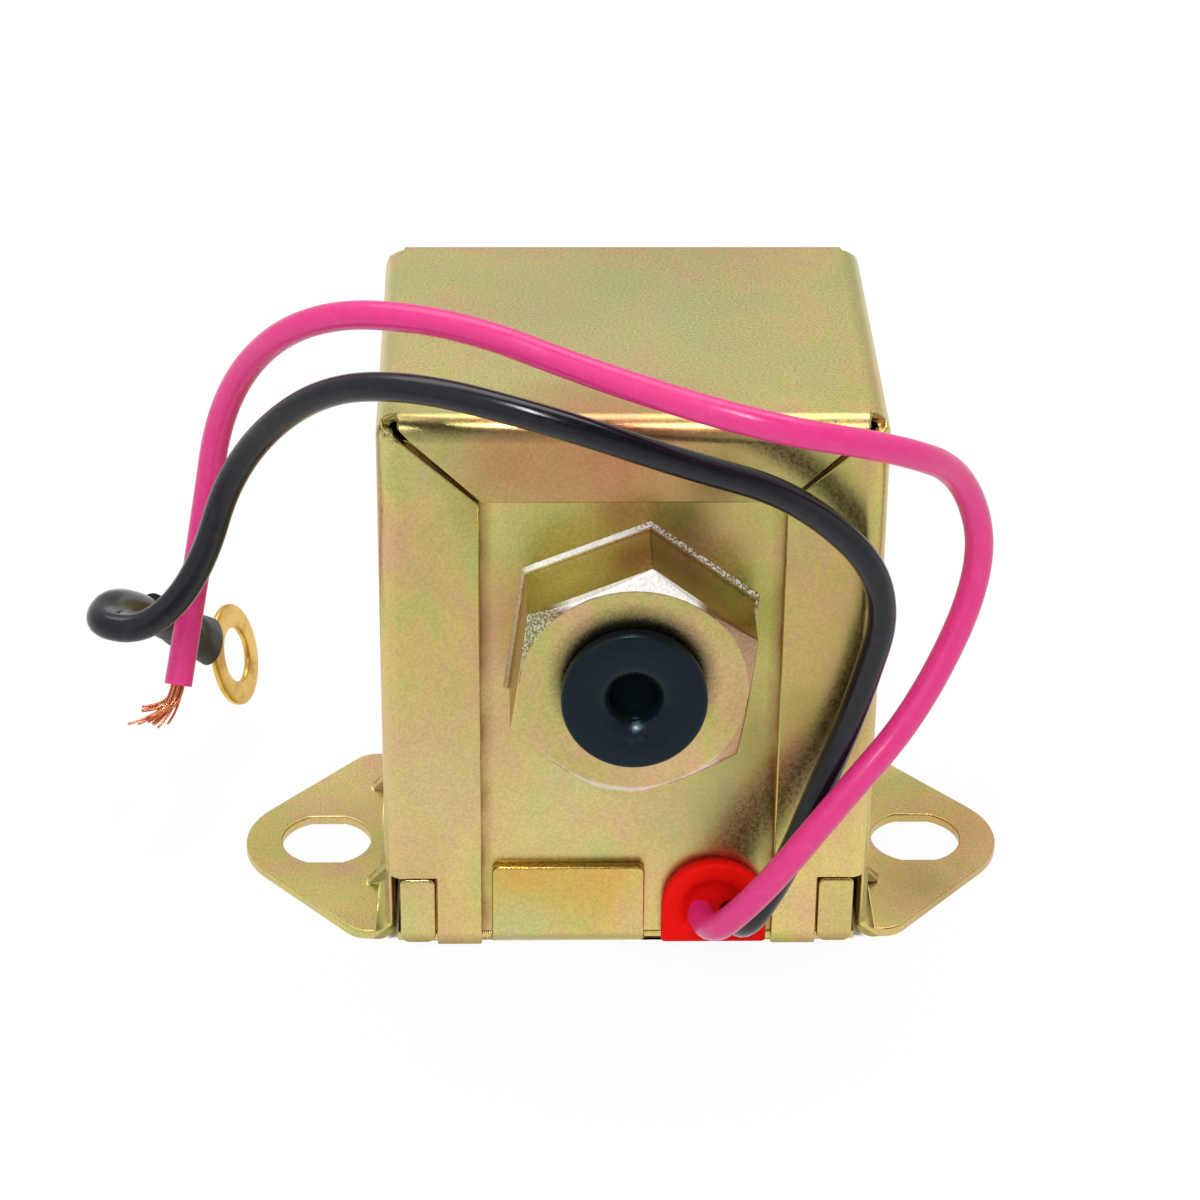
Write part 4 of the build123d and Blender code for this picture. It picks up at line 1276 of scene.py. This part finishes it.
@dataclass
class Softened:
    """A packed sheet or turned piece whose sharp edges are rounded. Edges inside a plain box stay; a
    box is in millimetres from the middle of the case, with the same box on the other sides."""

    node: str
    finish: Finish
    slot: str = "yellow_zinc_steel"
    radius: float = 0.22 * MM
    sharpest: float = math.radians(40.0)
    merge: float = 0.03 * MM
    plain: tuple[tuple[Point, Point], ...] = ()

    def rounds(self, edge: bmesh.types.BMEdge) -> bool:
        """Tells whether an edge gets rounded: if it is sharp and outside every plain box.

        Args:
            edge: The edge.

        Returns:
            The answer.
        """
        if len(edge.link_faces) != 2 or edge.calc_face_angle(0.0) < self.sharpest:
            return False
        place = np.abs(np.array((edge.verts[0].co + edge.verts[1].co) / 2)) / MM
        return not any(np.all(place >= low) and np.all(place <= high) for low, high in self.plain)

    def make(self, nodes: dict[str, Piece]) -> Piece:
        """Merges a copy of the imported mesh, rounds its edges and puts it in the piece's place.

        Args:
            nodes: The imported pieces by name.

        Returns:
            The rounded piece.
        """
        mesh = nodes[self.node].data.copy()
        mesh.name = f"rounded_{self.node}"
        work = bmesh.new()
        work.from_mesh(mesh)
        bmesh.ops.remove_doubles(work, verts=work.verts, dist=self.merge)
        bmesh.ops.dissolve_limit(work, angle_limit=math.radians(1.0), verts=work.verts, edges=work.edges)
        bmesh.ops.bevel(work, geom=[edge for edge in work.edges if self.rounds(edge)], offset=self.radius,
                        offset_type="OFFSET", segments=3, profile=0.5, affect="EDGES", clamp_overlap=False)
        work.to_mesh(mesh)
        work.free()
        mesh.materials.clear()
        mesh.polygons.foreach_set("use_smooth", np.ones(len(mesh.polygons), dtype=bool))
        piece = put(mesh.name, mesh)
        piece.modifiers.new("flat faces stay flat", "WEIGHTED_NORMAL").weight = 100
        return declare(piece, self.finish, self.node, self.slot)


@dataclass
class Harness:
    """The two leads with what they carry."""

    pink_route: list[Point]
    black_route: list[Point]
    pink_length: float = 0.2162
    black_length: float = 0.1900

    @staticmethod
    def last_run(route: list[Point]) -> Point:
        """Gives the direction of a route's last run."""
        return tuple(np.subtract(route[-1], route[-2]))

    def make(self) -> None:
        """Builds the strands, the terminal and both leads."""
        strands = Strands(self.pink_route[-1], self.last_run(self.pink_route)).make()
        Lead("pink_wire", "pink_lead", "pink_insulation", PINK_INSULATION, self.pink_route,
             self.pink_length, "bare").make([strands])
        terminal = Terminal(self.black_route[-1], self.last_run(self.black_route))
        Lead("black_wire", "black_lead", "black_insulation", BLACK_INSULATION, self.black_route,
             self.black_length, "connector").make([terminal.sleeve(), terminal.ring()])


@dataclass
class Pump:
    """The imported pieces: the outer ones with rounded edges, the rest as they are, each with its finish."""

    nodes: dict[str, Piece]
    rounded: tuple[Softened, ...] = (
        Softened("case_shell", SHEET_ZINC, merge=0.001 * MM, plain=(
            ((25.6, 21.0, -1.0), (29.0, 24.5, 11.0)),
            ((26.0, -1.0, -1.0), (29.3, 99.0, 3.0)),
        )),
        Softened("base_plate", BASE_ZINC),
        Softened("front_end_plate", PLATE_ZINC),
        Softened("rear_end_plate", PLATE_ZINC),
        Softened("outlet_fitting", FITTING_ZINC, "plated_fitting"),
        Softened("inlet_fitting", FITTING_ZINC, "plated_fitting"),
    )
    plain: tuple[tuple[Finish, str], ...] = (
        (TUBE_BRASS, "pump_tube plunger_valve inlet_valve inlet_valve_seat"),
        (BLACK_RUBBER, "inlet_seal outlet_seal plunger_bumper"),
        (STEEL, "plunger front_pole_plate rear_pole_plate"),
        (SPRING_STEEL, "plunger_spring plunger_valve_spring inlet_valve_spring"),
        (NYLON, "bobbin board_spacers"),
        (WINDING, "sensing_winding power_winding"),
        (BOARD, "circuit_board"),
        (EPOXY, "switching_transistor flyback_diode bias_resistors"),
        (RING_BRASS, "lead_terminals"),
    )

    def dress(self) -> None:
        """Rounds the outer pieces and puts each finish on the rest."""
        for outer in self.rounded:
            outer.make(self.nodes)
        for finish, names in self.plain:
            for name in names.split():
                finish.dress(self.nodes[name])
            LOG.info("%s: %s", names, finish.name)


@dataclass
class Studio:
    """A pale floor, a soft box above and behind, a weak one in front, a small lamp, a pale room and a
    camera at the photo's place."""

    camera_place: Point = (-0.01371, -0.3836, 0.2519)
    heading: float = 1.622
    pitch: float = 29.72
    roll: float = 0.656
    lens: float = 112.5
    sensor: float = 36.0
    floor_size: float = 6.0
    floor_drop: float = 0.0002
    floor_shade: float = 0.84
    floor_fade: Span = (-0.30, -0.03)
    floor_dimmest: float = 0.55
    footprint: Span = (27.5 * MM, 21.5 * MM)
    footprint_blur: float = 0.5 * MM
    glow: float = 0.94
    room_light: float = 0.62
    mirrored_room: tuple[Span, ...] = (
        (0.0, 0.50), (15.0, 0.40), (28.0, 0.26), (40.0, 0.06), (86.0, 0.03), (98.0, 0.45), (132.0, 0.75),
        (152.0, 0.62), (180.0, 0.60),
    )
    mirrored_side: float = 0.72
    sides: tuple[Span, Span] = ((-0.08, -0.32), (0.50, 0.85))
    lights: tuple[tuple[str, Point, Point, Span, float, bool], ...] = (
        ("overhead", (-0.05, 0.38, 0.86), (0.0, 0.0, 0.04), (0.9, 0.48), 3.6, True),
        ("front", (-0.10, -0.70, 0.55), (0.0, 0.0, 0.04), (0.8, 0.5), 2.2, False),
        ("lamp", (-0.021, -0.230, 0.480), (0.0, -0.02, 0.06), (0.036, 0.16), 0.80, True),
    )

    def camera(self) -> None:
        """Sets the camera: turned right of +Y by heading, down by pitch, then rolled about its own axis."""
        turn = (Matrix.Rotation(-math.radians(self.heading), 4, "Z")
                @ Matrix.Rotation(math.radians(90.0 - self.pitch), 4, "X")
                @ Matrix.Rotation(math.radians(self.roll), 4, "Z"))
        data = bpy.data.cameras.new("camera")
        data.lens = self.lens
        data.sensor_width = self.sensor
        data.clip_start = 0.01
        camera = put("camera", data)
        camera.matrix_world = Matrix.Translation(self.camera_place) @ turn
        bpy.context.scene.camera = camera

    def world(self) -> None:
        """Makes the room: white where it is seen. The metal mirrors it by the angle from the front
        over the top to the back, pale behind and at both sides and dark over the camera."""
        world = bpy.data.worlds.new("room")
        world.use_nodes = True
        bpy.context.scene.world = world
        graph = Graph(world.node_tree)
        path = graph.add("LightPath").outputs
        view = graph.add("SeparateXYZ", {"Vector": graph.add("TexCoord").outputs["Generated"]}).outputs
        climb = graph.compute("ARCTAN2", view["Z"], graph.compute("MULTIPLY", view["Y"], -1.0))
        mirrored = graph.ramp(graph.scale(climb, 0.0, math.pi),
                              tuple((angle / 180.0, (level,) * 3) for angle, level in self.mirrored_room))
        for span in self.sides:
            mirrored = graph.mix(graph.scale(view["X"], *span), mirrored, (self.mirrored_side,) * 3)
        seen = (self.room_light,) * 3
        for ray, colour in (("Glossy", mirrored), ("Transmission", mirrored), ("Camera", WHITE)):
            seen = graph.mix(path[f"Is {ray} Ray"], seen, colour)
        background = graph.add("Background", {"Color": seen})
        graph.add("OutputWorld", {"Surface": background.outputs["Background"]})

    def floor(self) -> None:
        """Lays the floor, which keeps a soft shadow and is otherwise white where it is seen or
        mirrored, but not right under the case, where narrow gaps would show it."""
        half, drop = self.floor_size / 2, self.floor_drop
        mesh = bpy.data.meshes.new("floor")
        corners = [(-half, -half, -drop), (half, -half, -drop), (half, half, -drop), (-half, half, -drop)]
        mesh.from_pydata(corners, [], [(0, 1, 2, 3)])
        material = bpy.data.materials.new("pale_floor")
        material.use_nodes = True
        mesh.materials.append(material)
        graph = Graph(material.node_tree)
        path = graph.add("LightPath").outputs
        place = graph.add("SeparateXYZ", {"Vector": graph.position()}).outputs
        direct = graph.compute("MAXIMUM", path["Is Camera Ray"], path["Is Glossy Ray"])
        beside = graph.compute("MAXIMUM", *(
            graph.scale(graph.compute("ABSOLUTE", place[axis]), edge, edge + self.footprint_blur)
            for axis, edge in zip("XY", self.footprint)))
        share = graph.compute("MULTIPLY", graph.times(direct, beside), self.glow)
        near = graph.scale(place["Y"], *self.floor_fade, self.floor_dimmest, 1.0)
        glow = graph.add("Emission", {"Color": graph.mix(path["Is Camera Ray"], near, WHITE)})
        matt = graph.add("BsdfDiffuse", {"Color": (self.floor_shade,) * 3})
        seen = graph.add("MixShader", {0: share, 1: matt.outputs["BSDF"], 2: glow.outputs["Emission"]})
        graph.add("OutputMaterial", {"Surface": seen.outputs["Shader"]})
        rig.stage(put("floor", mesh))

    def soft_boxes(self) -> None:
        """Hangs the soft lights, each given by its name, its place, the point it faces, its width and
        height, its power in watts, and whether glossy surfaces mirror it."""
        for name, place, target, size, power, mirrored in self.lights:
            data = bpy.data.lights.new(name, "AREA")
            data.shape = "RECTANGLE"
            data.size, data.size_y = size
            data.energy = power
            light = put(name, data)
            light.location = place
            light.rotation_euler = (Vector(target) - Vector(place)).to_track_quat("-Z", "Y").to_euler()
            light.visible_camera = False
            light.visible_glossy = mirrored

    def make(self) -> None:
        """Builds the studio, with the camera first."""
        self.camera()
        self.world()
        self.floor()
        self.soft_boxes()
        bpy.context.scene.view_settings.view_transform = "Standard"


PINK_ROUTE = [
    (0.0084, -0.0198, 0.0042), (0.0084, -0.0293, 0.0042), (0.0146, -0.0334, 0.0134),
    (0.0228, -0.0326, 0.0250), (0.0325, -0.0254, 0.0332), (0.0397, -0.0198, 0.0484),
    (0.0364, -0.0218, 0.0612), (0.0279, -0.0314, 0.0691), (0.0138, -0.0350, 0.0733),
    (-0.0032, -0.0267, 0.0750), (-0.0201, -0.0201, 0.0790), (-0.0360, -0.0118, 0.0759),
    (-0.0459, -0.0030, 0.0622), (-0.0487, -0.0044, 0.0448), (-0.0516, -0.0132, 0.0293),
]
BLACK_ROUTE = [
    (0.0122, -0.0198, 0.0042), (0.0122, -0.0296, 0.0042), (0.0176, -0.0302, 0.0144),
    (0.0217, -0.0280, 0.0253), (0.0251, -0.0270, 0.0344), (0.0287, -0.0279, 0.0504),
    (0.0180, -0.0295, 0.0623), (0.0050, -0.0306, 0.0669), (-0.0090, -0.0302, 0.0719),
    (-0.0243, -0.0253, 0.0739), (-0.0352, -0.0182, 0.0694), (-0.0444, -0.0126, 0.0576),
    (-0.0482, -0.0157, 0.0453), (-0.0540, -0.0196, 0.0401), (-0.0605, -0.0174, 0.0398),
    (-0.0586, -0.0087, 0.0387), (-0.0554, -0.0030, 0.0331),
]


def corners(box: tuple) -> list[list[float]]:
    """Gives a box's two corners as plain lists of numbers."""
    return [[float(value) for value in corner] for corner in box]


def main() -> None:
    """Loads the frame, builds the studio, the leads and the soft parts, and dresses the rest."""
    logging.basicConfig(level=logging.INFO, format="%(name)s %(message)s")
    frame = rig.load()
    cad_box = corners(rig.bounds())
    Studio().make()
    Harness(PINK_ROUTE, BLACK_ROUTE).make()
    for port in Port:
        PortCap(port).make()
    Grommet().make()
    Pump(frame["nodes"]).dress()
    bpy.context.view_layer.update()
    SIZE_FILE.write_text(json.dumps({"cad": cad_box, "visual": corners(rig.bounds())}))


if __name__ == "__main__":
    main()
